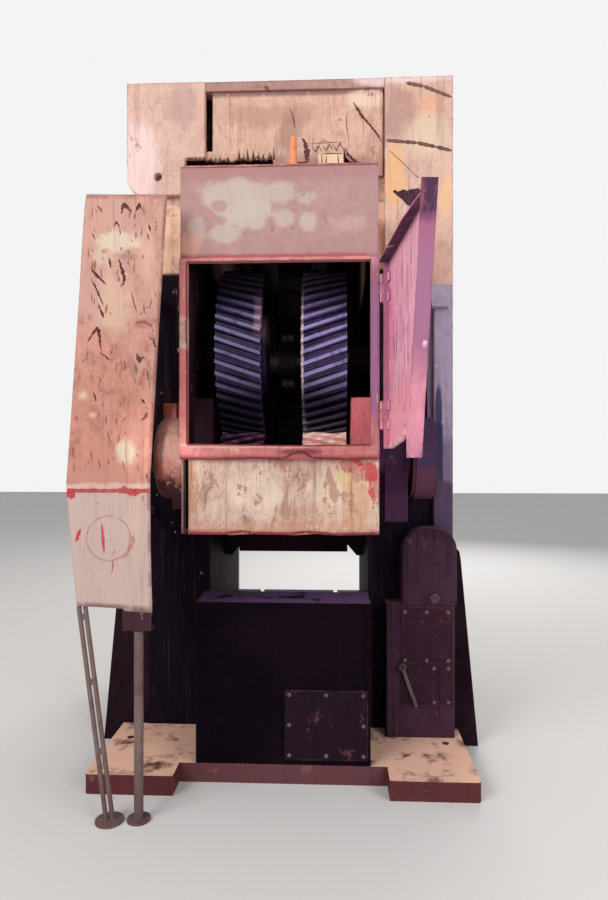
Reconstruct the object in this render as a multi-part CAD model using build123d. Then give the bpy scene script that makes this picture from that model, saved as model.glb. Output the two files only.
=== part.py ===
from build123d import *
import math
import os

# Knuckle-joint cold extrusion press, millimetres, +Z up, floor at Z = 0.
# X runs across the press, -Y is the side where the gear case stands.
# The origin is the centre of the four foundation bolts, on the floor.

# Frame
frame_front = -510.0
frame_depth = 1090.0
inner_half_width = 430.0
upright_width = 350.0
upright_wall = 45.0
base_thickness = 92.0
base_front = -940.0
base_rear = 750.0
base_half_width = 500.0
foot_width = 415.0
foot_front = -1070.0
foot_corner = 20.0
crown_bottom = 2950.0
crown_height = 600.0
crown_wall = 60.0
crown_floor = 80.0
top_plate_thickness = 50.0
top_plate_lip = 35.0
top_plate_tail = 10.0
cheek_thickness = 40.0
cheek_reach = 102.0
left_cheek_inner = 453.0
left_cheek_bottom = 2990.0
left_cheek_corner = 90.0
right_cheek_inner = 520.0
right_cheek_bottom = 2481.0
centre_panel_thickness = 20.0
centre_panel_bottom = 3172.0
centre_panel_gap = 10.0
shadow_slot_width = 38.0
shadow_slot_depth = 60.0
shadow_slot_bottom = 3230.0
torn_slot_left = 565.0
torn_slot_right = 60.0
torn_slot_bottom = 3120.0
torn_slot_top = 3190.0
torn_pocket_depth = 90.0
notch_left = 298.0
notch_right = 400.0
notch_top = 3246.0
lifting_hole_radius = 22.0
lifting_hole_x = -711.0
lifting_hole_z = 3088.0

# Foundation bolts and tie rods
foundation_spacing_x = 1640.0
foundation_spacing_y = 1360.0
foundation_hole_radius = 18.0
tie_rod_radius = 45.0
tie_rod_clearance = 2.0
tie_rod_x = 605.0
tie_rod_front_y = -330.0
tie_rod_rear_y = 360.0
tie_nut_radius = 80.0
tie_nut_height = 70.0

# Bed and front housing
table_height = 600.0
table_thickness = 110.0
bed_wall = 60.0
t_slot_width = 28.0
t_slot_depth = 30.0
t_slot_foot_width = 50.0
t_slot_foot_depth = 22.0
t_slot_pitch = 260.0
t_slot_entry = 50.0
die_bolt_spacing_x = 380.0
die_bolt_spacing_y = 400.0
die_bolt_radius = 12.0
die_bolt_depth = 60.0
housing_half_width = 420.0
housing_wall = 25.0
shelf_height = 868.0
shelf_rear = -700.0

# Gear case
case_half_width = 440.0
case_front = -1170.0
case_skin = 20.0
case_bottom = 1224.0
apron_top = 1558.0
window_top = 2450.0
case_top = 2865.0
frame_bar = 34.0
sill_height = 62.0
frame_bar_proud = 20.0
window_head = 14.0

# Oil pipe on the case roof
oil_pipe_x = 60.0
oil_pipe_y = -1100.0
oil_pipe_height = 160.0
oil_pipe_low_radius = 22.0
oil_pipe_top_radius = 13.0
oil_pipe_flange = 34.0

# Gears: transverse module of the helical teeth, both pairs
gear_module = 16.87
bull_teeth = 52
pinion_teeth = 14
tooth_addendum = 13.0
tooth_dedendum = 17.0
tooth_backlash = 2.8
pressure_angle = 21.0
helix_angle = 18.5
gear_gap_half = 94.0
gear_face = 211.0
bull_y = -630.0
bull_z = 2080.0
pinion_z = 1560.0
bull_rim_inner = 375.0
bull_boss_radius = 230.0
bull_hub_radius = 140.0
bull_web_inset = 45.0
bull_stations = 3
pinion_stations = 4
crank_throw = 115.0
crank_pin_radius = 60.0
crank_pin_seat = 46.0
stub_radius = 75.0
stub_seat = 140.0
pinion_shaft_radius = 50.0
pinion_shaft_left = -840.0
running_clearance = 0.05
side_clearance = 0.5

# Bearings and brake
main_boss_radius = 100.0
main_flange_radius = 114.0
main_flange_thickness = 18.0
block_front = -1000.0
block_rear = -690.0
block_bottom = 1440.0
block_top = 1848.0
left_housing_radius = 200.0
left_housing_length = 170.0
left_housing_round = 34.0
housing_screw_count = 8
housing_screw_radius = 14.0
right_bearing_radius = 140.0
right_bearing_length = 165.0
right_foot_half_depth = 140.0
right_foot_bottom = 1258.0
brake_drum_radius = 190.0
brake_drum_width = 118.0
brake_drum_gap = 10.0
brake_band_gap = 2.0
brake_band_thickness = 8.0
brake_band_width = 90.0

# Knuckle joint and slide
knuckle_y = 180.0
link_length = 580.0
link_eye_radius = 100.0
rod_half_width = 45.0
rod_big_eye = 110.0
rod_small_eye = 92.0
rod_pocket_depth = 25.0
rod_lug_inset = 10.0
rod_lug_root = 80.0
rod_lug_top = 144.0
rod_lug_length = 60.0
cap_lug_length = 45.0
rod_bolt_offset = 122.0
rod_bolt_x = 16.0
rod_bolt_radius = 13.0
fork_half_width = 106.0
outer_plate = 60.0
link_depth = 150.0
knee_pin_radius = 55.0
pivot_pin_radius = 60.0
pin_collar = 12.0
bracket_half_width = 200.0
bracket_plate = 40.0
slide_half_width = 330.0
slide_half_depth = 280.0
slide_bottom = 980.0
slide_body_height = 350.0
slide_tongue = 70.0
tongue_half_depth = 80.0
gib_gap = 0.5
gib_depth = 80.0
gib_bottom = 940.0
gib_top = 1560.0
punch_bolt_spacing_x = 300.0
punch_bolt_spacing_y = 300.0
punch_bolt_radius = 10.0
punch_bolt_depth = 50.0

# Ejector in the bed
ejector_radius = 40.0
ejector_bottom = 250.0
piston_radius = 62.0
piston_height = 40.0
cylinder_radius = 90.0
cylinder_floor = 20.0

# Door, standing open
door_angle = 94.5
door_width = 866.0
door_low_width = 640.0
door_top = 2414.0
door_low = 1574.0
door_sheet = 5.0
door_flange = 46.0
door_start = 14.0
hinge_offset = 15.0
hinge_y = -1215.0
hinge_gap = 26.0
hinge_barrel_radius = 11.0
hinge_pin_radius = 6.0
hinge_heights = (1750.0, 2300.0)
knuckle_length = 40.0

# Sheet guard on the left
guard_front = -1300.0
guard_sheet = 5.0
guard_depth = 480.0
guard_lip = 40.0
guard_leg_radius = 10.0
guard_prop_radius = 20.0
guard_foot_height = 10.0
guard_arm = 40.0
guard_channel_left = -661.0
guard_channel_right = -537.0
guard_channel_bottom = 826.0
guard_channel_height = 128.0
guard_channel_depth = 60.0
guard_channel_wall = 12.0

# Right-hand side equipment
cabinet_inner = 520.0
cabinet_outer = 880.0
cabinet_front = -620.0
cabinet_top = 795.0
duct_outer = 882.0
duct_front = -545.0
duct_rear = -420.0
duct_bottom = 1119.0
panel_thickness = 6.0
valve_x = 765.0
lever_x = 604.0
lever_z = 468.0
lever_length = 190.0
lever_lean = 19.0
lever_bore_radius = 8.0
cover_centre = 744.0
cover_half_width = 145.0
cover_height = 400.0
cover_round = 120.0
gusset_thickness = 30.0

# Derived places
frame_rear = frame_front + frame_depth
outer_half_width = inner_half_width + upright_width
cheek_outer = outer_half_width + cheek_reach
crown_top = crown_bottom + crown_height
cheek_top = crown_top + top_plate_thickness
cheek_front = frame_front - cheek_thickness
foot_outer = base_half_width + foot_width
bull_pitch_radius = gear_module * bull_teeth / 2
pinion_pitch_radius = gear_module * pinion_teeth / 2
gear_centres = bull_pitch_radius + pinion_pitch_radius
gear_drop = bull_z - pinion_z
pinion_y = bull_y - math.sqrt(gear_centres**2 - gear_drop**2)
mesh_angle = math.degrees(math.atan2(pinion_z - bull_z, pinion_y - bull_y))
gear_outer = gear_gap_half + gear_face
case_inner = case_half_width - case_skin
crown_pivot_z = bull_z + link_length
slide_pivot_z = bull_z - link_length
slide_top = slide_bottom + slide_body_height
crank_y = bull_y + crank_throw
drum_left = case_half_width + right_bearing_length + brake_drum_gap
hinge_x = case_half_width + hinge_offset


def block(x_low, x_high, y_low, y_high, z_low, z_high):
    """A box between the given limits."""
    size = Box(x_high - x_low, y_high - y_low, z_high - z_low)
    centre = ((x_low + x_high) / 2, (y_low + y_high) / 2, (z_low + z_high) / 2)
    return Pos(*centre) * size


def along_x(x_low, y, z):
    """A plane that looks along +X: its own X is the press's Y, its own Y is Z."""
    return Plane(origin=(x_low, y, z), x_dir=(0, 1, 0), z_dir=(1, 0, 0))


def along_y(x, y_low, z):
    """A plane that looks along +Y from its far side: its own X is the press's X, its own Y is Z."""
    return Plane(origin=(x, y_low, z), x_dir=(1, 0, 0), z_dir=(0, -1, 0))


def rod_x(radius, x_low, x_high, y, z):
    """A cylinder along X."""
    return extrude(along_x(x_low, y, z) * Circle(radius), amount=x_high - x_low)


def rod_y(radius, x, y_low, y_high, z):
    """A cylinder along Y."""
    return extrude(along_y(x, y_high, z) * Circle(radius), amount=y_high - y_low)


def rod_z(radius, x, y, z_low, z_high):
    """A cylinder along Z."""
    return Pos(x, y, (z_low + z_high) / 2) * Cylinder(radius, z_high - z_low)


def front_outline(points, y_low, y_high):
    """A closed outline of (X, Z) points, extruded along Y."""
    outline = make_face(Polyline(*points, close=True))
    return extrude(along_y(0, y_high, 0) * outline, amount=y_high - y_low)


def side_outline(points, x_low, x_high):
    """A closed outline of (Y, Z) points, extruded along X."""
    outline = make_face(Polyline(*points, close=True))
    return extrude(along_x(x_low, 0, 0) * outline, amount=x_high - x_low)


def other_side(shape):
    """The shape's mirror image on the other side of the press's centre plane."""
    return mirror(shape, about=Plane.YZ)


def both_sides(shape):
    """The shape and its mirror image, as two separate solids of one node."""
    return group([shape, other_side(shape)])


def group(shapes):
    """Several separate solids kept as one node."""
    return Compound(children=[solid for shape in shapes for solid in shape.solids()])


# Frame


def make_base_plate():
    return block(-base_half_width, base_half_width, base_front, base_rear, 0, base_thickness)


def make_foot():
    """Right foot plate, with two foundation bolt holes."""
    foot = block(base_half_width, foot_outer, foot_front, base_rear, 0, base_thickness)
    outer_edges = foot.edges().filter_by(Axis.Z).sort_by(Axis.X)[-2:]
    foot = fillet(outer_edges, foot_corner)
    for y in (-foundation_spacing_y / 2, foundation_spacing_y / 2):
        foot -= rod_z(foundation_hole_radius, foundation_spacing_x / 2, y, 0, base_thickness)
    return foot


def make_upright():
    """Right upright: a welded box column, open at its ends for the tie rods."""
    outer = block(
        inner_half_width, outer_half_width, frame_front, frame_rear, base_thickness, crown_bottom
    )
    hollow = block(
        inner_half_width + upright_wall,
        outer_half_width - upright_wall,
        frame_front + upright_wall,
        frame_rear - upright_wall,
        base_thickness,
        crown_bottom,
    )
    return outer - hollow


def tie_rod_places():
    return [
        (side * tie_rod_x, y) for side in (-1, 1) for y in (tie_rod_front_y, tie_rod_rear_y)
    ]


def make_crown():
    """Crown beam, hollow from the rear, with dark pockets behind its torn front sheets."""
    crown = block(
        -outer_half_width, outer_half_width, frame_front, frame_rear, crown_bottom, crown_top
    )
    crown -= block(
        -outer_half_width + crown_wall,
        outer_half_width - crown_wall,
        frame_front + crown_wall + 80,
        frame_rear,
        crown_bottom + crown_floor,
        crown_top - crown_wall,
    )
    slot_right = -left_cheek_inner + shadow_slot_width
    slot_rear = frame_front + shadow_slot_depth
    crown -= block(
        -left_cheek_inner, slot_right, frame_front, slot_rear, shadow_slot_bottom, crown_top
    )
    crown -= block(
        -torn_slot_left,
        -torn_slot_right,
        frame_front,
        frame_front + torn_pocket_depth,
        torn_slot_bottom,
        shadow_slot_bottom,
    )
    crown -= block(notch_left, notch_right, frame_front, slot_rear, torn_slot_bottom, notch_top)
    for x, y in tie_rod_places():
        crown -= rod_z(tie_rod_radius + tie_rod_clearance, x, y, crown_bottom, crown_top)
    return crown


def make_top_plate():
    """Top plate between the cheeks' side plates; its front lip shows between the cheeks."""
    side = cheek_outer - cheek_thickness
    plate = block(-side, side, frame_front, frame_rear + top_plate_tail, crown_top, cheek_top)
    lip_front = frame_front - top_plate_lip
    plate += block(
        -left_cheek_inner, right_cheek_inner, lip_front, frame_front, crown_top, cheek_top
    )
    hole = tie_rod_radius + tie_rod_clearance
    for x, y in tie_rod_places():
        plate -= rod_z(hole, x, y, crown_top, cheek_top)
    return plate


def make_left_cheek():
    """Front and side plate over the crown's left end, with a rounded corner and a torn slot."""
    outer = block(
        -cheek_outer, -left_cheek_inner, cheek_front, frame_rear, left_cheek_bottom, cheek_top
    )
    corner = outer.edges().filter_by(Axis.Y).group_by(Axis.Z)[0].sort_by(Axis.X)[0]
    outer = fillet(corner, left_cheek_corner)
    inside = block(
        -cheek_outer + cheek_thickness,
        -left_cheek_inner + 1,
        frame_front,
        frame_rear + 1,
        left_cheek_bottom - 1,
        cheek_top + 1,
    )
    hole = rod_y(lifting_hole_radius, lifting_hole_x, cheek_front, frame_front, lifting_hole_z)
    torn = block(
        -torn_slot_left,
        -left_cheek_inner,
        cheek_front,
        frame_front,
        torn_slot_bottom,
        torn_slot_top,
    )
    return outer - inside - hole - torn


def make_right_cheek():
    """Front plate that runs on down the upright, with a side plate over the crown's end."""
    front = block(
        right_cheek_inner, cheek_outer, cheek_front, frame_front, right_cheek_bottom, cheek_top
    )
    side = block(
        cheek_outer - cheek_thickness,
        cheek_outer,
        frame_front,
        frame_rear,
        left_cheek_bottom,
        cheek_top,
    )
    return front + side


def make_centre_panel():
    """Recessed panel between the cheeks, torn along its lower left edge and at the right."""
    left = -left_cheek_inner + shadow_slot_width
    right = right_cheek_inner - centre_panel_gap
    low = torn_slot_bottom - 40
    ragged = [
        (-430.0, 16.0), (-395.0, 2.0), (-352.0, 14.0), (-310.0, 0.0), (-262.0, 20.0),
        (-215.0, 6.0), (-170.0, 26.0), (-128.0, 8.0), (-92.0, 30.0),
    ]
    points = [(left, crown_top), (left, shadow_slot_bottom)]
    points += [(-left_cheek_inner, shadow_slot_bottom), (-left_cheek_inner, centre_panel_bottom + 8)]
    points += [(x, centre_panel_bottom + rise) for x, rise in ragged]
    points += [(-torn_slot_right - 6, low), (notch_left + 2, low)]
    points += [(notch_left + 2, notch_top - 6), (notch_left + 16, notch_top - 60)]
    points += [(notch_left + 40, torn_slot_bottom + 42), (notch_right - 4, torn_slot_bottom + 16)]
    points += [(notch_right - 4, low), (right, low), (right, crown_top)]
    return front_outline(points, frame_front - centre_panel_thickness, frame_front)


def make_tie_rods():
    top = cheek_top + tie_nut_height + 15
    return group([rod_z(tie_rod_radius, x, y, base_thickness, top) for x, y in tie_rod_places()])


def make_tie_nuts():
    nuts = []
    low = cheek_top
    for x, y in tie_rod_places():
        nut = Pos(x, y, low) * extrude(RegularPolygon(tie_nut_radius, 6), amount=tie_nut_height)
        nuts.append(nut - rod_z(tie_rod_radius, x, y, low, low + tie_nut_height))
    return group(nuts)


def make_gusset(y_low):
    """A right-hand foot gusset: a plate flared from the upright down to the floor."""
    x = outer_half_width
    points = [
        (x, base_thickness), (foot_outer, base_thickness), (foot_outer, 0), (1025, 0),
        (932, 1010), (925, 1050), (900, 1080), (x, 1110),
    ]
    return front_outline(points, y_low, y_low + gusset_thickness)


def make_gussets():
    places = (frame_front + 5, frame_rear - gusset_thickness - 5)
    right = [make_gusset(y) for y in places]
    return group(right + [other_side(gusset) for gusset in right])


def make_rear_cover():
    """Sheet over the knuckle space at the back, with a pressed stiffening frame."""
    reach = inner_half_width + 45
    sheet = block(-reach, reach, frame_rear, frame_rear + 6, 1150, crown_bottom + 40)
    rib_top = crown_bottom - 130
    raised = block(-reach + 90, reach - 90, frame_rear + 6, frame_rear + 16, 1250, rib_top)
    return sheet + raised


def make_crown_rear_cover():
    reach = outer_half_width - crown_wall + 25
    low = crown_bottom + crown_floor - 25
    return block(-reach, reach, frame_rear, frame_rear + 6, low, crown_top - crown_wall + 25)


def make_cover_screws():
    """Hexagon screws round both rear covers."""
    screws = []
    reach = inner_half_width + 22
    places = [(side * reach, z) for side in (-1, 1) for z in range(1190, 2900, 340)]
    crown_reach = outer_half_width - crown_wall
    crown_low = crown_bottom + crown_floor - 10
    crown_high = crown_top - crown_wall + 10
    for x in range(-3, 4):
        places += [(x * crown_reach / 3.1, crown_low), (x * crown_reach / 3.1, crown_high)]
    for x, z in places:
        plane = Plane(origin=(x, frame_rear + 6, z), x_dir=(1, 0, 0), z_dir=(0, 1, 0))
        screws.append(extrude(plane * RegularPolygon(11, 6), amount=9))
    return group(screws)


# Bed


def make_bed():
    """Bed casting: table with T-slots on top, hollow from below."""
    bed = block(
        -inner_half_width, inner_half_width, frame_front, frame_rear, base_thickness, table_height
    )
    bed -= block(
        -inner_half_width + bed_wall,
        inner_half_width - bed_wall,
        frame_front + bed_wall,
        frame_rear - bed_wall,
        base_thickness,
        table_height - table_thickness,
    )
    for step in (-1, 1):
        x = step * t_slot_pitch
        neck = t_slot_width / 2
        foot = t_slot_foot_width / 2
        neck_low = table_height - t_slot_depth
        bed -= block(x - neck, x + neck, frame_front, frame_rear, neck_low, table_height)
        foot_low = neck_low - t_slot_foot_depth
        bed -= block(x - foot, x + foot, frame_front, frame_rear, foot_low, neck_low)
    bore_low = table_height - table_thickness
    bed -= rod_z(ejector_radius + running_clearance, 0, knuckle_y, bore_low, table_height)
    for side in (-1, 1):
        for end in (-1, 1):
            x = side * die_bolt_spacing_x / 2
            y = knuckle_y + end * die_bolt_spacing_y / 2
            bed -= rod_z(die_bolt_radius, x, y, table_height - die_bolt_depth, table_height)
    return bed


def make_front_housing():
    """Boxed bed front with a raised shelf and an entry for bolts at each T-slot's end."""
    outer = [
        (base_front, base_thickness), (base_front, shelf_height), (shelf_rear, shelf_height),
        (shelf_rear, table_height), (frame_front, table_height), (frame_front, base_thickness),
    ]
    wall = housing_wall
    inner = [
        (base_front + wall, base_thickness), (base_front + wall, shelf_height - wall),
        (shelf_rear - wall, shelf_height - wall), (shelf_rear - wall, table_height - wall),
        (frame_front, table_height - wall), (frame_front, base_thickness),
    ]
    shell = side_outline(outer, -housing_half_width, housing_half_width)
    shell -= side_outline(inner, -housing_half_width + wall, housing_half_width - wall)
    entry_front = frame_front - t_slot_entry
    half = t_slot_foot_width / 2
    for x in (-t_slot_pitch, t_slot_pitch):
        shell -= block(x - half, x + half, entry_front, frame_front, table_height - wall, table_height)
    return shell


def make_access_panel():
    panel = block(10, housing_half_width - 12, base_front - 6, base_front, 118, 452)
    return fillet(panel.edges().filter_by(Axis.Y), 10)


def make_ejector_cylinder():
    top = table_height - table_thickness
    low = ejector_bottom - cylinder_floor - 60
    body = rod_z(cylinder_radius, 0, knuckle_y, low, top)
    return body - rod_z(piston_radius, 0, knuckle_y, low + cylinder_floor, top)


def make_ejector():
    rod = rod_z(ejector_radius, 0, knuckle_y, ejector_bottom, table_height - 2)
    piston = rod_z(
        piston_radius - running_clearance,
        0,
        knuckle_y,
        ejector_bottom,
        ejector_bottom + piston_height,
    )
    return rod + piston


# Gear case


def make_case_wall():
    """Right-hand wall of the case, bored for the main bearing and the pinion bearing."""
    wall = block(
        case_inner,
        case_half_width,
        case_front + case_skin,
        frame_front,
        case_bottom,
        case_top - case_skin,
    )
    wall -= rod_x(main_boss_radius, case_inner, case_half_width, bull_y, bull_z)
    wall -= rod_x(pinion_shaft_radius + 20, case_inner, case_half_width, pinion_y, pinion_z)
    return wall


def make_header():
    """Folded sheet: front panel over the window and the roof of the case."""
    front = block(
        -case_half_width, case_half_width, case_front, case_front + case_skin, window_top, case_top
    )
    roof = block(
        -case_half_width, case_half_width, case_front, frame_front, case_top - case_skin, case_top
    )
    return front + roof


def make_window_frame():
    """Welded frame of bar round the window, standing proud of the case."""
    front = case_front - frame_bar_proud
    rear = case_front + case_skin
    ring = block(-case_half_width, case_half_width, front, rear, apron_top, window_top)
    opening = block(
        -case_half_width + frame_bar,
        case_half_width - frame_bar,
        front,
        rear,
        apron_top + sill_height,
        window_top - window_head,
    )
    return ring - opening


def make_apron():
    """Panel under the window, its lower edge rusted to a wavy line."""
    waves = 9
    left, right = -case_half_width + 36, case_half_width + 4
    points = [(right, apron_top), (left, apron_top)]
    for step in range(waves + 1):
        x = left + (right - left) * step / waves
        points.append((x, case_bottom + 5 * math.sin(2.3 * step) + 1.5 * (step % 3)))
    return front_outline(points, case_front, case_front + case_skin)


def make_case_floor():
    rear_of_skin = case_front + case_skin
    low = case_bottom + 8
    return block(-case_inner, case_inner, rear_of_skin, frame_front, low, low + case_skin - 2)


def make_oil_pipe():
    """Short tapered pipe with a rounded end and a flange on the case roof."""
    pipe = Pos(oil_pipe_x, oil_pipe_y, case_top + oil_pipe_height / 2) * Cone(
        oil_pipe_low_radius, oil_pipe_top_radius, oil_pipe_height
    )
    pipe = fillet(pipe.edges().sort_by(Axis.Z)[-1], oil_pipe_top_radius / 2)
    return pipe + rod_z(oil_pipe_flange, oil_pipe_x, oil_pipe_y, case_top, case_top + 12)


# Gear train


def tooth_half_angle(radius, pitch_radius, base_radius, teeth):
    """Half of the angle that a tooth covers at this radius, in radians."""
    flank = math.acos(min(1.0, base_radius / radius))
    pitch_flank = math.radians(pressure_angle)
    at_pitch = math.pi / (2 * teeth) - tooth_backlash / (4 * pitch_radius)
    return at_pitch + math.tan(pitch_flank) - pitch_flank - math.tan(flank) + flank


def gear_section(teeth):
    """The gear's outline across its axis, one tooth centred on the local X axis."""
    pitch_radius = gear_module * teeth / 2
    base_radius = pitch_radius * math.cos(math.radians(pressure_angle))
    tip_radius = pitch_radius + tooth_addendum
    root_radius = pitch_radius - tooth_dedendum
    radii = [root_radius, tip_radius]
    if base_radius > root_radius:
        radii = [root_radius, base_radius + 0.5, pitch_radius, tip_radius]
    points = []
    for tooth in range(teeth):
        middle = 2 * math.pi * tooth / teeth
        rising = [(r, -tooth_half_angle(r, pitch_radius, base_radius, teeth)) for r in radii]
        falling = [(r, -angle) for r, angle in reversed(rising)]
        for radius, offset in rising + falling:
            turn = middle + offset
            points.append((radius * math.cos(turn), radius * math.sin(turn)))
    return make_face(Polyline(*points, close=True))


def helical_gear(teeth, x_low, y, z, phase, hand, stations):
    """A toothed disc between x_low and x_low plus the face width, twisted by the helix angle.

    phase is the angle of one tooth's centre at mid face, hand is +1 or -1.
    """
    twist = math.degrees(gear_face * math.tan(math.radians(helix_angle)) / (gear_module * teeth / 2))
    section = gear_section(teeth)
    slices = []
    for step in range(stations + 1):
        share = step / stations
        turn = phase + hand * twist * (share - 0.5)
        slices.append(along_x(x_low + gear_face * share, y, z) * Rot(0, 0, turn) * section)
    return loft(slices, ruled=True)


def make_bull_gear(side):
    """One bull gear with its web, hub, crank pin hole and shaft bore.

    side is -1 for the left gear and +1 for the right one; the hands are opposite.
    """
    x_low = gear_gap_half if side > 0 else -gear_outer
    gear = helical_gear(bull_teeth, x_low, bull_y, bull_z, mesh_angle, -side, bull_stations)
    inner_end = side * gear_gap_half
    outer_end = side * gear_outer

    def ring(x_a, x_b, radius_in, radius_out):
        low, high = min(x_a, x_b), max(x_a, x_b)
        outer = rod_x(radius_out, low, high, bull_y, bull_z)
        return outer - rod_x(radius_in, low, high, bull_y, bull_z)

    gear -= ring(inner_end, inner_end + side * bull_web_inset, bull_boss_radius, bull_rim_inner)
    gear -= ring(outer_end, outer_end - side * bull_web_inset, bull_hub_radius, bull_rim_inner)
    seat = outer_end - side * stub_seat
    gear -= rod_x(stub_radius, min(seat, outer_end), max(seat, outer_end), bull_y, bull_z)
    pin_end = inner_end + side * crank_pin_seat
    pin_low, pin_high = min(inner_end, pin_end), max(inner_end, pin_end)
    return gear - rod_x(crank_pin_radius, pin_low, pin_high, crank_y, bull_z)


def make_half_crank_pin():
    """Right half of the crank pin: it ends just short of the connecting rod."""
    low = rod_half_width + side_clearance
    high = gear_gap_half + crank_pin_seat
    return rod_x(crank_pin_radius, low, high, crank_y, bull_z)


def make_stub_shaft():
    """Right stub shaft, from its seat in the gear hub to the end of the main bearing."""
    low = gear_outer - stub_seat
    high = case_half_width + main_flange_thickness
    shaft = rod_x(stub_radius, low, high, bull_y, bull_z)
    rim = shaft.faces().sort_by(Axis.X)[-1].edges()
    return chamfer(rim, 4)


def make_main_bearing():
    """Right main bearing: a boss through the case wall with a flange outside."""
    low = gear_outer + 20
    bearing = rod_x(main_boss_radius, low, case_half_width, bull_y, bull_z)
    flange_end = case_half_width + main_flange_thickness
    bearing += rod_x(main_flange_radius, case_half_width, flange_end, bull_y, bull_z)
    return bearing - rod_x(stub_radius + running_clearance, low, flange_end, bull_y, bull_z)


def make_pinion_shaft():
    """Pinion shaft, with a keyway in the bare left end where a flywheel sat."""
    right = drum_left + brake_drum_width
    shaft = rod_x(pinion_shaft_radius, pinion_shaft_left, right, pinion_y, pinion_z)
    shaft = chamfer(shaft.edges().filter_by(GeomType.CIRCLE), 3)
    key_top = pinion_z + pinion_shaft_radius
    shaft -= block(
        pinion_shaft_left + 20,
        pinion_shaft_left + 180,
        pinion_y - 14,
        pinion_y + 14,
        key_top - 9,
        key_top + 1,
    )
    return shaft


def make_pinion(side):
    """One pinion, in mesh with the bull gear on its side."""
    x_low = gear_gap_half if side > 0 else -gear_outer
    phase = mesh_angle + 180 + 180 / pinion_teeth
    pinion = helical_gear(pinion_teeth, x_low, pinion_y, pinion_z, phase, side, pinion_stations)
    return pinion - rod_x(pinion_shaft_radius, x_low, x_low + gear_face, pinion_y, pinion_z)


def make_pinion_block():
    """Right inner bearing block, standing against the case wall beside the pinion."""
    low = gear_outer + 20
    body = block(low, case_inner, block_front, block_rear, block_bottom, block_top)
    body = fillet(body.edges().filter_by(Axis.X), 18)
    return body - rod_x(pinion_shaft_radius + running_clearance, low, case_inner, pinion_y, pinion_z)


def make_left_housing():
    """Round housing of the outer left bearing, with an oil cup lug on top."""
    left = -case_half_width - left_housing_length
    body = rod_x(left_housing_radius, left, -case_half_width, pinion_y, pinion_z)
    body = fillet(body.faces().sort_by(Axis.X)[0].edges(), left_housing_round)
    hollow_left = left + 60
    hollow = rod_x(left_housing_radius - 35, hollow_left, -case_half_width, pinion_y, pinion_z)
    core = rod_x(pinion_shaft_radius + 35, hollow_left, -case_half_width, pinion_y, pinion_z)
    body -= hollow - core
    lug_low = pinion_z + left_housing_radius - 12
    lug = block(left + 12, left + 76, pinion_y - 34, pinion_y + 34, lug_low, lug_low + 84)
    lug = fillet(lug.edges().filter_by(Axis.X).group_by(Axis.Z)[-1], 20)
    foot_high = pinion_z - left_housing_radius + 14
    foot = block(left + 60, left + 130, pinion_y - 60, pinion_y - 10, foot_high - 62, foot_high)
    body += lug
    body += foot
    return body - rod_x(
        pinion_shaft_radius + running_clearance, left, -case_half_width, pinion_y, pinion_z
    )


def make_housing_screws():
    screws = []
    left = -case_half_width - left_housing_length
    for step in range(housing_screw_count):
        turn = 2 * math.pi * (step + 0.5) / housing_screw_count
        y = pinion_y + (left_housing_radius - 68) * math.cos(turn)
        z = pinion_z + (left_housing_radius - 68) * math.sin(turn)
        head = extrude(
            Plane(origin=(left, y, z), x_dir=(0, 1, 0), z_dir=(-1, 0, 0))
            * RegularPolygon(housing_screw_radius, 6),
            amount=16,
        )
        screws.append(head)
    return group(screws)


def make_right_bracket():
    """Outer right bearing: a round boss on a bracket bolted to the case wall."""
    low, high = case_half_width, case_half_width + right_bearing_length
    boss = rod_x(right_bearing_radius, low, high, pinion_y, pinion_z)
    foot = block(
        low + 46,
        high - 13,
        pinion_y - right_foot_half_depth,
        pinion_y + right_foot_half_depth,
        right_foot_bottom,
        pinion_z,
    )
    foot = fillet(foot.edges().filter_by(Axis.X).group_by(Axis.Z)[0], 30)
    web = block(low, low + 46, pinion_y - 90, pinion_y + 90, right_foot_bottom + 30, pinion_z)
    return boss + foot + web - rod_x(
        pinion_shaft_radius + running_clearance, low, high, pinion_y, pinion_z
    )


def make_brake_drum():
    """Brake drum on the right end of the pinion shaft, dished from its outer side."""
    low, high = drum_left, drum_left + brake_drum_width
    drum = rod_x(brake_drum_radius, low, high, pinion_y, pinion_z)
    dish = rod_x(brake_drum_radius - 28, low + 40, high, pinion_y, pinion_z)
    hub = rod_x(pinion_shaft_radius + 38, low + 40, high, pinion_y, pinion_z)
    drum -= dish - hub
    drum -= rod_x(pinion_shaft_radius, low, high, pinion_y, pinion_z)
    return drum


def make_brake_band():
    """Steel band round the drum, held by a pad on an anchor plate at the upright."""
    low = drum_left + (brake_drum_width - brake_band_width) / 2
    high = low + brake_band_width
    inner = brake_drum_radius + brake_band_gap
    band = rod_x(inner + brake_band_thickness, low, high, pinion_y, pinion_z)
    pad_front = pinion_y + inner - 12
    band += block(low + 20, high - 20, pad_front, frame_front, pinion_z - 60, pinion_z + 60)
    band += block(low, high, frame_front - 20, frame_front, pinion_z - 100, pinion_z + 100)
    return band - rod_x(inner, low, high, pinion_y, pinion_z)


# Knuckle joint


def make_rod_lugs(y_low, y_high):
    """Bolt lugs above and below the rod's big end."""
    low, high = -rod_half_width + rod_lug_inset, rod_half_width - rod_lug_inset
    lug = block(low, high, y_low, y_high, bull_z + rod_lug_root, bull_z + rod_lug_top)
    return lug + block(low, high, y_low, y_high, bull_z - rod_lug_top, bull_z - rod_lug_root)


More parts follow.
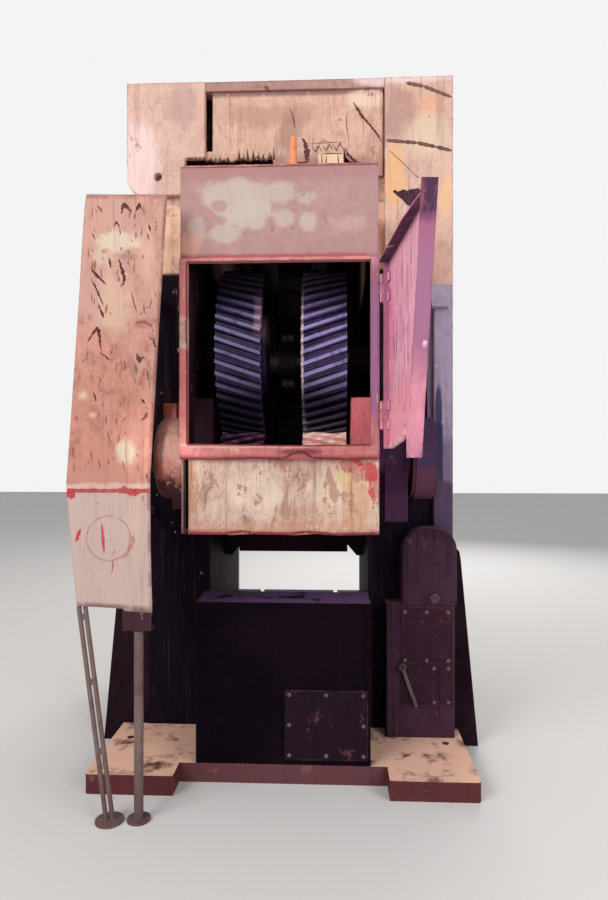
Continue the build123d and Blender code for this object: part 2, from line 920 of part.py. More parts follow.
def make_connecting_rod():
    """Connecting rod without its cap: big end at the crank, small end on the knee pin."""
    low, high = -rod_half_width, rod_half_width
    big = rod_x(rod_big_eye, low, high, crank_y, bull_z)
    big -= block(low, high, crank_y - rod_big_eye, crank_y - side_clearance, 0, crown_top)
    small = rod_x(rod_small_eye, low, high, knuckle_y, bull_z)
    shank_points = [
        (crank_y + 40, bull_z - 84), (crank_y + 40, bull_z + 84),
        (knuckle_y - 40, bull_z + 62), (knuckle_y - 40, bull_z - 62),
    ]
    pocket_points = [
        (crank_y + 150, bull_z - 50), (crank_y + 150, bull_z + 50),
        (knuckle_y - 130, bull_z + 38), (knuckle_y - 130, bull_z - 38),
    ]
    rod = big + small + side_outline(shank_points, low, high)
    rod -= side_outline(pocket_points, low, low + rod_pocket_depth)
    rod -= side_outline(pocket_points, high - rod_pocket_depth, high)
    rod += make_rod_lugs(crank_y, crank_y + rod_lug_length)
    rod -= rod_x(crank_pin_radius + side_clearance, low, high, crank_y, bull_z)
    rod -= rod_x(knee_pin_radius + running_clearance, low, high, knuckle_y, bull_z)
    return rod


def make_rod_cap():
    """Cap of the rod's big end, parted from the rod just in front of the crank's axis."""
    low, high = -rod_half_width, rod_half_width
    cap = rod_x(rod_big_eye, low, high, crank_y, bull_z)
    cap -= block(low, high, crank_y - side_clearance, crank_y + rod_big_eye, 0, crown_top)
    cap += make_rod_lugs(crank_y - cap_lug_length, crank_y - side_clearance)
    return cap - rod_x(crank_pin_radius + side_clearance, low, high, crank_y, bull_z)


def make_rod_bolts():
    """Four hexagon bolt heads on the cap's lugs."""
    bolts = []
    face = crank_y - cap_lug_length
    for z in (bull_z - rod_bolt_offset, bull_z + rod_bolt_offset):
        for x in (-rod_bolt_x, rod_bolt_x):
            plane = Plane(origin=(x, face, z), x_dir=(1, 0, 0), z_dir=(0, -1, 0))
            bolts.append(extrude(plane * RegularPolygon(rod_bolt_radius, 6), amount=14))
    return group(bolts)


def make_upper_link():
    """Upper link: a fork at the knee and one eye at the crown pivot."""
    half = fork_half_width
    link = rod_x(link_eye_radius, -half, half, knuckle_y, bull_z)
    link += rod_x(link_eye_radius, -half, half, knuckle_y, crown_pivot_z)
    link += block(
        -half, half, knuckle_y - link_depth / 2, knuckle_y + link_depth / 2, bull_z, crown_pivot_z
    )
    mouth = rod_half_width + 1.5
    mouth_top = bull_z + rod_small_eye + 30
    reach = link_eye_radius + 10
    link -= block(-mouth, mouth, knuckle_y - reach, knuckle_y + reach, bull_z - reach, mouth_top)
    link -= rod_x(knee_pin_radius, -half, half, knuckle_y, bull_z)
    link -= rod_x(pivot_pin_radius + running_clearance, -half, half, knuckle_y, crown_pivot_z)
    return link


def make_lower_link():
    """Lower link: two plates outside the upper link's fork, joined by a web."""
    low = fork_half_width + 1
    high = low + outer_plate
    plate = rod_x(link_eye_radius, low, high, knuckle_y, bull_z)
    plate += rod_x(link_eye_radius, low, high, knuckle_y, slide_pivot_z)
    depth = link_depth / 2
    plate += block(low, high, knuckle_y - depth, knuckle_y + depth, slide_pivot_z, bull_z)
    plate -= rod_x(knee_pin_radius + running_clearance, low, high, knuckle_y, bull_z)
    plate -= rod_x(knee_pin_radius + running_clearance, low, high, knuckle_y, slide_pivot_z)
    web_low = slide_pivot_z + link_eye_radius + 50
    web_high = bull_z - link_eye_radius - 50
    web = block(-low, low, knuckle_y - 60, knuckle_y + 60, web_low, web_high)
    return plate + web + other_side(plate)


def collared_pin(radius, half_length, z):
    """A pin along X with a round collar at each end."""
    pin = rod_x(radius, -half_length, half_length, knuckle_y, z)
    for end in (-1, 1):
        low = min(end * half_length, end * (half_length + pin_collar))
        pin += rod_x(radius + 16, low, low + pin_collar, knuckle_y, z)
    return pin


def make_knee_pin():
    return collared_pin(knee_pin_radius, fork_half_width + 2 + outer_plate, bull_z)


def make_slide_pin():
    return collared_pin(knee_pin_radius, fork_half_width + 2 + outer_plate, slide_pivot_z)


def make_crown_pin():
    return rod_x(pivot_pin_radius, -bracket_half_width, bracket_half_width, knuckle_y, crown_pivot_z)


def make_crown_bracket():
    """Two lugs under the crown that carry the upper link's pin."""
    low, high = fork_half_width + 1, bracket_half_width
    lug = rod_x(link_eye_radius + 15, low, high, knuckle_y, crown_pivot_z)
    lug += block(
        low,
        high,
        knuckle_y - link_eye_radius - 15,
        knuckle_y + link_eye_radius + 15,
        crown_pivot_z,
        crown_bottom,
    )
    plate = block(
        -bracket_half_width,
        bracket_half_width,
        knuckle_y - 150,
        knuckle_y + 150,
        crown_bottom - bracket_plate,
        crown_bottom,
    )
    bracket = lug + other_side(lug) + plate
    return bracket - rod_x(
        pivot_pin_radius, -bracket_half_width, bracket_half_width, knuckle_y, crown_pivot_z
    )


def make_slide():
    """Slide: body with side tongues, a pivot lug on top and bolt holes in its face."""
    slide = block(
        -slide_half_width,
        slide_half_width,
        knuckle_y - slide_half_depth,
        knuckle_y + slide_half_depth,
        slide_bottom,
        slide_top,
    )
    slide = chamfer(slide.edges().filter_by(Axis.X).group_by(Axis.Z)[0], 12)
    reach = slide_half_width + slide_tongue
    slide += block(
        -reach,
        reach,
        knuckle_y - tongue_half_depth,
        knuckle_y + tongue_half_depth,
        slide_bottom + 12,
        slide_top,
    )
    half = fork_half_width
    eye = link_eye_radius - 5
    slide += block(-half, half, knuckle_y - eye, knuckle_y + eye, slide_top, slide_pivot_z)
    slide += rod_x(eye, -half, half, knuckle_y, slide_pivot_z)
    slide -= rod_x(knee_pin_radius, -half, half, knuckle_y, slide_pivot_z)
    for side in (-1, 1):
        for end in (-1, 1):
            x = side * punch_bolt_spacing_x / 2
            y = knuckle_y + end * punch_bolt_spacing_y / 2
            slide -= rod_z(punch_bolt_radius, x, y, slide_bottom, slide_bottom + punch_bolt_depth)
    slide -= rod_z(32, 0, knuckle_y, slide_bottom, slide_bottom + 110)
    return slide


def make_gibs():
    """Four guide bars on the uprights, two beside each tongue of the slide."""
    low = slide_half_width + 10
    near = tongue_half_depth + gib_gap
    bars = []
    for end in (-1, 1):
        y_a = knuckle_y + end * near
        y_b = knuckle_y + end * (near + gib_depth)
        points = [
            (low, gib_bottom + 60), (low, gib_top), (inner_half_width, gib_top),
            (inner_half_width, gib_bottom), (low + 50, gib_bottom),
        ]
        bar = front_outline(points, min(y_a, y_b), max(y_a, y_b))
        bars += [bar, other_side(bar)]
    return group(bars)


# Door


def door_space(shape):
    """Turn a shape drawn on the shut door to where the door stands open."""
    axis = Axis((hinge_x, hinge_y, 0), (0, 0, 1))
    return shape.rotate(axis, door_angle)


def door_outline(points, y_low, y_high):
    """An outline of (distance from the hinge, height) points on the shut door."""
    return front_outline([(hinge_x - reach, z) for reach, z in points], y_low, y_high)


def make_door():
    """Pan-shaped inspection door with a torn lower corner, and its hinge knuckles."""
    front = hinge_y - hinge_gap - door_sheet
    back = front + door_sheet
    start = door_start
    sheet = door_outline(
        [
            (start, 1606), (start, door_top), (door_width, door_top), (door_low_width, door_low),
            (590, door_low + 7), (548, door_low - 1), (500, door_low + 4), (402, door_low),
            (392, 1702), (374, 1650), (330, 1634), (250, 1626), (120, 1608),
        ],
        front,
        back,
    )
    free_flange = door_outline(
        [
            (door_width, door_top), (door_low_width, door_low),
            (door_low_width - door_sheet, door_low), (door_width - door_sheet, door_top),
        ],
        back,
        back + door_flange,
    )
    lip = [
        (start, 0), (door_width, 0), (door_width, 14), (700, 30), (520, 42), (start, door_flange)
    ]
    lip_points = [(hinge_x - reach, back + depth) for reach, depth in lip]
    lip_face = Plane.XY.offset(door_top - door_sheet) * make_face(Polyline(*lip_points, close=True))
    hinge_flange = block(
        hinge_x - start - door_sheet, hinge_x - start, back, back + 24, 1606, door_top - door_sheet
    )
    door = sheet + free_flange + extrude(lip_face, amount=door_sheet) + hinge_flange
    for z in hinge_heights:
        for low in (z - 1.5 * knuckle_length - 1, z + 0.5 * knuckle_length + 1):
            high = low + knuckle_length
            door += block(hinge_x - 62, hinge_x, back, back + 8, low, high)
            door += block(hinge_x - 19, hinge_x, back, hinge_y - 4, low, high)
            door += rod_z(hinge_barrel_radius, hinge_x, hinge_y, low, high)
            door -= rod_z(hinge_pin_radius + running_clearance, hinge_x, hinge_y, low, high)
    return door_space(door)


def make_hinge_brackets():
    """The case's own hinge knuckles, on arms from the window frame's right bar."""
    brackets = []
    half = knuckle_length / 2
    for z in hinge_heights:
        barrel = rod_z(hinge_barrel_radius, hinge_x, hinge_y, z - half, z + half)
        arm = block(case_half_width, hinge_x, hinge_y + 4, case_front, z - half, z + half)
        pin_hole = rod_z(hinge_pin_radius, hinge_x, hinge_y, z - half, z + half)
        brackets.append(barrel + arm - pin_hole)
    return group(brackets)


def make_hinge_pins():
    reach = 1.5 * knuckle_length + 4
    return group(
        [rod_z(hinge_pin_radius, hinge_x, hinge_y, z - reach, z + reach) for z in hinge_heights]
    )


# Guard


guard_left = [
    (-860, 930), (-882, 1149), (-904, 1407), (-907, 1450), (-896, 1600), (-863, 2075),
    (-848, 2299), (-837, 2496), (-826, 2650), (-819, 2697),
]
guard_right = [(-466, 2690), (-505, 2073), (-540, 1472), (-538, 1173), (-531, 915), (-652, 908)]


def make_guard():
    """Tall tapered sheet guard: front sheet, left side folded back and a lip along the top."""
    step = [(-652, 930)]
    front = front_outline(guard_left + guard_right + step, guard_front, guard_front + guard_sheet)
    inner_left = [(x + guard_sheet, z) for x, z in reversed(guard_left)]
    side = front_outline(guard_left + inner_left, guard_front, guard_front + guard_depth)
    top_left, top_right = guard_left[-1], guard_right[0]
    lip_points = [top_left, top_right]
    lip_points += [(x, z - guard_sheet) for x, z in (top_right, top_left)]
    return front + side + front_outline(lip_points, guard_front, guard_front + guard_lip)


def leaning_pipe(radius, low, high, y):
    """A pipe between two (X, Z) points."""
    run, rise = high[0] - low[0], high[1] - low[1]
    plane = Plane(origin=(low[0], y, low[1]), x_dir=(0, 1, 0), z_dir=(run, 0, rise))
    return extrude(plane * Circle(radius), amount=math.hypot(run, rise))


def make_guard_legs():
    """Two slim legs side by side on one foot, tied and plated to the guard's front sheet."""
    plate_front = guard_front + guard_sheet
    y = plate_front + 6 + 8
    legs = leaning_pipe(guard_leg_radius, (-737, 8), (-856, 924), y)
    legs += leaning_pipe(guard_leg_radius, (-708, 8), (-838, 1000), y)
    legs += block(-852, -806, plate_front, plate_front + 6, 940, 1000)
    for z in (300, 600, 880):
        x = -737 + (-856 + 737) * z / 924
        legs += block(x, x + 28, y - 4, y + 4, z - 12, z + 12)
    return legs + rod_z(60, -722, y, 0, guard_foot_height)


def make_guard_channel():
    """Channel under the guard's right part, on a pipe prop with a round foot."""
    low = guard_front + guard_sheet
    high = low + guard_channel_depth
    wall = guard_channel_wall
    bottom = guard_channel_bottom
    top = bottom + guard_channel_height
    left, right = guard_channel_left, guard_channel_right
    bar = block(left, right, low, high, bottom, top)
    bar -= block(left, right, low + wall, high, bottom + wall, top - wall)
    prop_x, prop_y = (left + right) / 2, low + guard_channel_depth / 2
    bar += rod_z(guard_prop_radius, prop_x, prop_y, 0, bottom)
    return bar + rod_z(50, prop_x, prop_y, 0, guard_foot_height)


def make_guard_arms():
    """Arms from the guard back to the left upright."""
    arms = []
    for z in (1250.0, 2400.0):
        low, high = -outer_half_width, -outer_half_width + guard_arm
        arms.append(block(low, high, guard_front + guard_sheet, frame_front, z, z + guard_arm))
    return group(arms)


# Right-hand side


def make_duct():
    duct = block(
        outer_half_width, duct_outer, duct_front, duct_rear, duct_bottom, right_cheek_bottom - 3
    )
    return fillet(duct.edges().filter_by(Axis.Z).sort_by(Axis.Y)[:1], 8)


def make_junction_box():
    box = block(
        outer_half_width - 20, outer_half_width + 80, duct_front - 62, duct_front, 2355, 2470
    )
    return fillet(box.edges().filter_by(Axis.Y), 10)


def make_cabinet():
    """Lubricator cabinet at the foot of the right upright, with the hand lever's pivot pin."""
    cabinet = block(
        cabinet_inner, cabinet_outer, cabinet_front, frame_front, base_thickness, cabinet_top
    )
    cabinet = fillet(cabinet.edges().filter_by(Axis.Z).group_by(Axis.Y)[0], 12)
    radius = lever_bore_radius - running_clearance
    cabinet += rod_y(radius, lever_x, cabinet_front - 30, cabinet_front, lever_z)
    return cabinet + rod_y(13, lever_x, cabinet_front - 33, cabinet_front - 28, lever_z)


def make_cabinet_panels():
    """Two panels on the cabinet's front; the lower one has a hole, both clear the pivot pin."""
    front = cabinet_front - panel_thickness
    upper = block(600, 862, front, cabinet_front, 480, 768)
    lower = block(600, 862, front, cabinet_front, 262, 474)
    lower -= rod_y(13, 776, front, cabinet_front, 368)
    pin_room = rod_y(lever_bore_radius + 2, lever_x, front, cabinet_front, lever_z)
    return group([upper - pin_room, lower - pin_room])


def make_pump_cover():
    """Domed cover that stands on the cabinet."""
    low, high = cover_centre - cover_half_width, cover_centre + cover_half_width
    rear = duct_front - 1
    cover = block(low, high, cabinet_front - 18, rear, cabinet_top, cabinet_top + cover_height)
    cover = fillet(cover.edges().filter_by(Axis.Y).group_by(Axis.Z)[-1], cover_round)
    front_face = cover.faces().sort_by(Axis.Y)[0]
    rim = [edge for edge in front_face.edges() if edge.center().Z > cabinet_top + 1]
    return fillet(rim, 20)


def make_valve_knob():
    front = cabinet_front - 18
    z = cabinet_top + 42
    knob = rod_y(9, valve_x, front - 22, front, z)
    return knob + rod_y(22, valve_x, front - 44, front - 20, z)


def make_pump_lever():
    """Hand lever on the cabinet, hanging at a slant, with a ball-ended grip."""
    boss = rod_y(18, lever_x, cabinet_front - 26, cabinet_front - panel_thickness - 1, lever_z)
    arm_low = lever_z - lever_length
    arm = block(
        lever_x - 8, lever_x + 8, cabinet_front - 24, cabinet_front - 14, arm_low, lever_z
    )
    grip = rod_z(11, lever_x, cabinet_front - 19, arm_low - 30, arm_low + 30)
    grip = fillet(grip.edges().filter_by(GeomType.CIRCLE), 5)
    axis = Axis((lever_x, 0, lever_z), (0, 1, 0))
    lever = boss + (arm + grip).rotate(axis, -lever_lean)
    return lever - rod_y(
        lever_bore_radius, lever_x, cabinet_front - 26, cabinet_front - panel_thickness - 1, lever_z
    )


parts = {
    "base_plate": make_base_plate(),
    "foot_plates": both_sides(make_foot()),
    "uprights": both_sides(make_upright()),
    "crown_beam": make_crown(),
    "crown_top_plate": make_top_plate(),
    "left_cheek_plate": make_left_cheek(),
    "right_cheek_plate": make_right_cheek(),
    "crown_front_panel": make_centre_panel(),
    "tie_rods": make_tie_rods(),
    "tie_rod_nuts": make_tie_nuts(),
    "foot_gussets": make_gussets(),
    "rear_covers": group([make_rear_cover(), make_crown_rear_cover()]),
    "cover_screws": make_cover_screws(),
    "bed": make_bed(),
    "front_housing": make_front_housing(),
    "cover_panels": group([make_access_panel(), make_cabinet_panels()]),
    "ejector_cylinder": make_ejector_cylinder(),
    "ejector_rod": make_ejector(),
    "case_walls": group([both_sides(make_case_wall()), make_case_floor()]),
    "case_header": make_header(),
    "window_frame": make_window_frame(),
    "apron_panel": make_apron(),
    "oil_pipe": make_oil_pipe(),
    "bull_gear_left": make_bull_gear(-1),
    "bull_gear_right": make_bull_gear(1),
    "crank_pins": both_sides(make_half_crank_pin()),
    "stub_shafts": both_sides(make_stub_shaft()),
    "main_bearings": both_sides(make_main_bearing()),
    "pinion_shaft": make_pinion_shaft(),
    "pinion_left": make_pinion(-1),
    "pinion_right": make_pinion(1),
    "pinion_block_right": make_pinion_block(),
    "pinion_block_left": other_side(make_pinion_block()),
    "left_bearing_housing": make_left_housing(),
    "housing_screws": make_housing_screws(),
    "right_bearing_bracket": make_right_bracket(),
    "brake_drum": make_brake_drum(),
    "brake_band": make_brake_band(),
    "connecting_rod": make_connecting_rod(),
    "rod_cap": make_rod_cap(),
    "rod_bolts": make_rod_bolts(),
    "upper_link": make_upper_link(),
    "lower_link": make_lower_link(),
    "knee_pin": make_knee_pin(),
    "slide_pin": make_slide_pin(),
    "crown_pin": make_crown_pin(),
    "crown_bracket": make_crown_bracket(),
    "slide": make_slide(),
    "slide_gibs": make_gibs(),
    "inspection_door": make_door(),
    "hinge_brackets": make_hinge_brackets(),
    "hinge_pins": make_hinge_pins(),
    "sheet_guard": make_guard(),
    "guard_stand": group([make_guard_legs(), make_guard_channel(), make_guard_arms()]),
    "cable_duct": make_duct(),
    "junction_box": make_junction_box(),
    "lubricator_cabinet": make_cabinet(),
    "pump_cover": make_pump_cover(),
    "valve_knob": make_valve_knob(),
    "pump_lever": make_pump_lever(),
}

os.makedirs("parts", exist_ok=True)
for name, shape in parts.items():
    export_step(shape, f"parts/{name}.step")
print(len(parts), "nodes")
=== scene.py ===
"""Looks of a knuckle-joint cold extrusion press: worn paint, oiled gears, dented guard, small fittings."""

import logging
import math
import random
from collections.abc import Callable
from dataclasses import dataclass, field, replace
from enum import Enum

import bmesh
import bpy
from mathutils import Matrix, Vector, noise


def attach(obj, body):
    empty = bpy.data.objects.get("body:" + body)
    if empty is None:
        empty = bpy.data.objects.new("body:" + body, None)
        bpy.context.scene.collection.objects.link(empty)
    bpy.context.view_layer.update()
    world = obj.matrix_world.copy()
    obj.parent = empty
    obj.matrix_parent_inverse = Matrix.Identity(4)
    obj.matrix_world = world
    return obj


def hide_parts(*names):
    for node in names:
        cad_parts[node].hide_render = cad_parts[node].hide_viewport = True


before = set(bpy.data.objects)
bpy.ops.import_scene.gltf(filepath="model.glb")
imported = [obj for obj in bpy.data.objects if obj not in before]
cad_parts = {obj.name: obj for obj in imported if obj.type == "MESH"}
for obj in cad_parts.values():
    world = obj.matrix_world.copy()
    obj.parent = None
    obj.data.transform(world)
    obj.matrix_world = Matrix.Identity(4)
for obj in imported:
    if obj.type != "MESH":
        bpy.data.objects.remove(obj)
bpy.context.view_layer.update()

Colour = tuple[float, float, float]
Point = tuple[float, float, float]
Flat = tuple[float, float]
Course = tuple[Flat, ...]
Marks = tuple[tuple[float, Course], ...]
Face = Callable[[float, float], float]
Mesh = bmesh.types.BMesh
Piece = bpy.types.Object
Material = bpy.types.Material
Socket = bpy.types.NodeSocket
Inputs = dict[int | str, Socket | float | Colour]

log = logging.getLogger("press")


class Direction(Enum):
    """One axis of the press's frame."""

    X = 0
    Y = 1
    Z = 2


class Head(Enum):
    """Shape of a screw's head, as its number of sides."""

    HEXAGON = 6
    ROUND = 20


# Noise patterns


@dataclass(frozen=True)
class Noise:
    """A noise pattern that breaks up a finish.

    Attributes:
        scale: Cells a metre.
        detail: Number of finer layers.
        rough: Strength of each finer layer.
        bend: Distortion.
        stretch: Scale of the place along X, Y and Z, or None to leave it.
        limits: Noise values between which its mask rises from 0 to 1.
    """

    scale: float
    detail: float = 6.0
    rough: float = 0.6
    bend: float = 0.0
    stretch: Point | None = None
    limits: Flat = (0.0, 1.0)


PATCH_EDGE = Noise(3.2, 9.0, 0.68, 0.4)
BAND_EDGE = Noise(11.0, 8.0, 0.65)
RING_WEAR = Noise(40.0, 8.0, 0.7, limits=(0.32, 0.62))
CLOUDS = Noise(2.1, 5.0, 0.6, 0.5, limits=(0.38, 0.62))
MOTTLE = Noise(38.0, 8.0, 0.72, limits=(0.35, 0.75))
BLOTCHES = Noise(11.0, 10.0, 0.72, 0.9, (1.7, 1.7, 1.0), (0.50, 0.64))
RAGGED_WEAR = Noise(7.5, 12.0, 0.66, 0.35, limits=(0.42, 0.55))
TALL_WEAR = Noise(5.0, 10.0, 0.7, 0.2, (3.4, 3.4, 1.0))
RUST_SPOTS = Noise(4.3, 12.0, 0.7, 0.8)
RUST_GRAIN = Noise(70.0, 6.0, 0.7, limits=(0.4, 0.65))
RUNS = Noise(1.0, 7.0, 0.62, 0.1, (34.0, 34.0, 1.6), (0.52, 0.74))
FINE_RUNS = Noise(1.0, 5.0, 0.6, 0.0, (120.0, 120.0, 5.0), (0.52, 0.72))
DUST = Noise(9.0, 8.0, limits=(0.30, 0.50))
PAINT_PITS = Noise(160.0, 5.0, 0.7)
OIL_FILM = Noise(5.0, 9.0, 0.65, 0.6, limits=(0.36, 0.64))
STEEL_SCRATCHES = Noise(1.0, 4.0, 0.6, 0.0, (14.0, 220.0, 220.0), (0.55, 0.75))
RUBBED_AND_HIGHLIT = Noise(16.0, 7.0, 0.7, limits=(0.28, 0.5))
RUST_BLOOM = Noise(8.0, 11.0, 0.72, 0.5)
STEEL_PITS = Noise(190.0, 5.0, 0.7)


class SurfaceNodes:
    """Builds one material's nodes, with short calls for what the finishes repeat."""

    def __init__(self, name: str, gloss: float) -> None:
        """Starts an empty material.

        Args:
            name: Name of the material.
            gloss: How much the surface mirrors, from 0 to 1.
        """
        self.material = bpy.data.materials.new(name)
        self.material.use_nodes = True
        self.tree = self.material.node_tree
        self.tree.nodes.clear()
        self.shader = self.node("BsdfPrincipled", {"Specular IOR Level": gloss})
        self.node("OutputMaterial", {0: self.shader.outputs[0]})
        coordinates = self.node("TexCoord", {}).outputs
        self.place, self.normal = coordinates["Object"], coordinates["Normal"]
        self.axes = self.node("SeparateXYZ", {0: self.place}).outputs
        self.grains: dict[Noise, Socket] = {}

    def feed(self, node: bpy.types.Node, inputs: Inputs) -> None:
        """Links a node's inputs to outputs, or sets their values.

        Args:
            node: The node.
            inputs: What each input takes.
        """
        for name, value in inputs.items():
            socket = node.inputs[name]
            if isinstance(value, bpy.types.NodeSocket):
                self.tree.links.new(value, socket)
            elif isinstance(value, tuple) and len(socket.default_value) == 4:
                socket.default_value = (*value, 1.0)
            else:
                socket.default_value = value

    def node(self, kind: str, inputs: Inputs, **settings: str | int) -> bpy.types.Node:
        """Adds one node.

        Args:
            kind: Blender's name for it, after ShaderNode.
            inputs: What each of its inputs takes.
            settings: Its further settings.

        Returns:
            The node.
        """
        node = self.tree.nodes.new(f"ShaderNode{kind}")
        for setting, value in settings.items():
            setattr(node, setting, value)
        self.feed(node, inputs)
        return node

    def math(self, operation: str, first: Socket | float, second: Socket | float = 0.0) -> Socket:
        """The result of one operation on one or two values."""
        return self.node("Math", {0: first, 1: second}, operation=operation).outputs[0]

    def times(self, first: Socket | float, second: Socket | float) -> Socket:
        """The product of two values."""
        return self.math("MULTIPLY", first, second)

    def grain(self, pattern: Noise) -> Socket:
        """Noise between 0 and 1, made once for each pattern.

        Args:
            pattern: Its pattern.

        Returns:
            The noise value.
        """
        if pattern not in self.grains:
            place = self.place
            if pattern.stretch is not None:
                place = self.node("Mapping", {"Vector": place, "Scale": pattern.stretch}).outputs[0]
            self.grains[pattern] = self.node("TexNoise", {
                "Vector": place, "Scale": pattern.scale, "Detail": pattern.detail,
                "Roughness": pattern.rough, "Distortion": pattern.bend,
            }).outputs[0]
        return self.grains[pattern]

    def mask(self, pattern: Noise) -> Socket:
        """The mask that a pattern gives between its limits."""
        return self.ease(self.grain(pattern), *pattern.limits)

    def shove(self, pattern: Noise, reach: float) -> Socket:
        """Noise about 0 that pushes an edge to and fro, over a reach."""
        return self.times(self.math("SUBTRACT", self.grain(pattern), 0.5), reach)

    def ease(self, value: Socket, low: float, high: float) -> Socket:
        """A smooth step from 0 at low to 1 at high.

        Args:
            value: Value to step.
            low: Where the step starts.
            high: Where it ends; below low for a falling step.

        Returns:
            The stepped value.
        """
        rising = low < high
        return self.node("MapRange", {
            "Value": value, "From Min": min(low, high), "From Max": max(low, high),
            "To Min": 0.0 if rising else 1.0, "To Max": 1.0 if rising else 0.0,
        }, interpolation_type="SMOOTHSTEP").outputs[0]

    def blend(self, share: Socket | float, under: Socket | Colour, over: Socket | Colour) -> Socket:
        """Two colours mixed, by the share of the upper one."""
        return self.node("Mix", {0: share, 6: under, 7: over}, data_type="RGBA").outputs[2]

    def lay(self, under: Socket | Colour, over: Socket | Colour, mask: Socket, strength: float) -> Socket:
        """One colour laid over another where a mask covers, as fully as its strength says."""
        return self.blend(self.times(mask, strength), under, over)

    def distance(self, across: tuple[Direction, Direction], centre: Flat) -> Socket:
        """Distance from a line along the third axis.

        Args:
            across: The two axes square to the line.
            centre: Where the line crosses them, in metres.

        Returns:
            The distance.
        """
        first, second = (
            self.math("SUBTRACT", self.axes[axis.value], middle) for axis, middle in zip(across, centre)
        )
        return self.math("SQRT", self.math("ADD", self.times(first, first), self.times(second, second)))

    def facing(self, direction: Direction, low: float, high: float) -> Socket:
        """A mask of the faces that look along an axis, full where the normal's part is high."""
        parts = self.node("SeparateXYZ", {0: self.normal}).outputs
        return self.ease(parts[direction.value], low, high)

    def edges(self, radius: float) -> Socket:
        """A mask of the worn rims of solid pieces.

        Args:
            radius: How far wear reaches from an edge, in metres.

        Returns:
            The mask.
        """
        rounded = self.node("Bevel", {"Radius": radius}, samples=4).outputs[0]
        flat = self.node("NewGeometry", {}).outputs["Normal"]
        together = self.node("VectorMath", {0: rounded, 1: flat}, operation="DOT_PRODUCT")
        return self.ease(together.outputs["Value"], 0.995, 0.90)

    def finish(
        self, colour: Socket, roughness: Socket, metal: Socket | float, relief: Socket, depth: float,
    ) -> Material:
        """Feeds the shader.

        Args:
            colour: Surface colour.
            roughness: Roughness.
            metal: How metallic the surface is.
            relief: Height for the fine relief.
            depth: Depth of the relief, in metres.

        Returns:
            The finished material.
        """
        bump = self.node("Bump", {"Strength": 0.7, "Distance": depth, "Height": relief}).outputs[0]
        self.feed(self.shader, {
            "Base Color": colour, "Roughness": roughness, "Metallic": metal, "Normal": bump,
        })
        return self.material


# Marks on a finish


@dataclass(frozen=True)
class Patch:
    """A ragged spot where a finish turns to another colour.

    Attributes:
        centre: Middle of the spot in the frame, in metres.
        radii: Half sizes along X, Y and Z, in metres.
        colour: Colour inside the spot.
        ragged: How far noise pushes the spot's edge, as a share of its radii.
        strength: How fully the colour covers, from 0 to 1.
        soft: Width of the edge, as a share of the radii.
        square: Whether the spot is a box and not a ball.
    """

    centre: Point
    radii: Point
    colour: Colour
    ragged: float = 0.55
    strength: float = 0.9
    soft: float = 0.12
    square: bool = False

    def mask(self, nodes: SurfaceNodes) -> Socket:
        """Where the spot covers.

        Args:
            nodes: The material's nodes.

        Returns:
            The mask.
        """
        away: Socket | float = 0.0
        for axis, middle, radius in zip(nodes.axes, self.centre, self.radii):
            part = nodes.math("DIVIDE", nodes.math("SUBTRACT", axis, middle), radius)
            if self.square:
                away = nodes.math("MAXIMUM", away, nodes.math("ABSOLUTE", part))
            else:
                away = nodes.math("ADD", away, nodes.times(part, part))
        if not self.square:
            away = nodes.math("SQRT", away)
        edge = replace(PATCH_EDGE, scale=PATCH_EDGE.scale / max(self.radii) ** 0.5)
        reach = nodes.math("ADD", away, nodes.shove(edge, self.ragged * 4))
        return nodes.times(nodes.ease(reach, 1 + self.soft, 1 - self.soft), self.strength)


@dataclass(frozen=True)
class Band:
    """A stretch of a surface between two limits along one axis, in another colour.

    Attributes:
        along: Axis that the limits are on.
        low: Lower limit, in metres.
        high: Upper limit, in metres.
        colour: Colour inside the band.
        strength: How fully the colour covers, from 0 to 1.
        soft: Width of both edges, in metres.
        ragged: How far noise pushes the edges, in metres.
    """

    along: Direction
    low: float
    high: float
    colour: Colour
    strength: float = 0.9
    soft: float = 0.01
    ragged: float = 0.02

    def mask(self, nodes: SurfaceNodes) -> Socket:
        """Where the band covers.

        Args:
            nodes: The material's nodes.

        Returns:
            The mask.
        """
        place = nodes.math("ADD", nodes.axes[self.along.value], nodes.shove(BAND_EDGE, self.ragged * 3))
        above = nodes.ease(place, self.low - self.soft, self.low + self.soft)
        below = nodes.ease(place, self.high + self.soft, self.high - self.soft)
        return nodes.times(nodes.times(above, below), self.strength)


@dataclass(frozen=True)
class Ring:
    """A faded painted ring on an upright sheet.

    Attributes:
        centre: X and Z of its middle, in metres.
        radius: Radius of its line, in metres.
        width: Width of its line, in metres.
        colour: Colour of the paint.
    """

    centre: Flat
    radius: float
    width: float
    colour: Colour

    def mask(self, nodes: SurfaceNodes) -> Socket:
        """Where the line covers, broken where its paint has worn.

        Args:
            nodes: The material's nodes.

        Returns:
            The mask.
        """
        away = nodes.distance((Direction.X, Direction.Z), self.centre)
        off_line = nodes.math("ABSOLUTE", nodes.math("SUBTRACT", away, self.radius))
        line = nodes.ease(off_line, self.width, self.width * 0.3)
        return nodes.times(line, nodes.mask(RING_WEAR))


@dataclass(frozen=True)
class Tint:
    """Another colour on the faces that look one way.

    Attributes:
        along: Axis that they look along.
        sign: 1 if they look towards its high end, or -1.
        colour: Their colour.
        strength: How fully the colour covers, from 0 to 1.
    """

    along: Direction
    sign: int
    colour: Colour
    strength: float = 0.9

    def mask(self, nodes: SurfaceNodes) -> Socket:
        """The faces that the tint covers."""
        return nodes.times(nodes.facing(self.along, 0.6 * self.sign, 0.9 * self.sign), self.strength)


Mark = Patch | Band | Ring | Tint


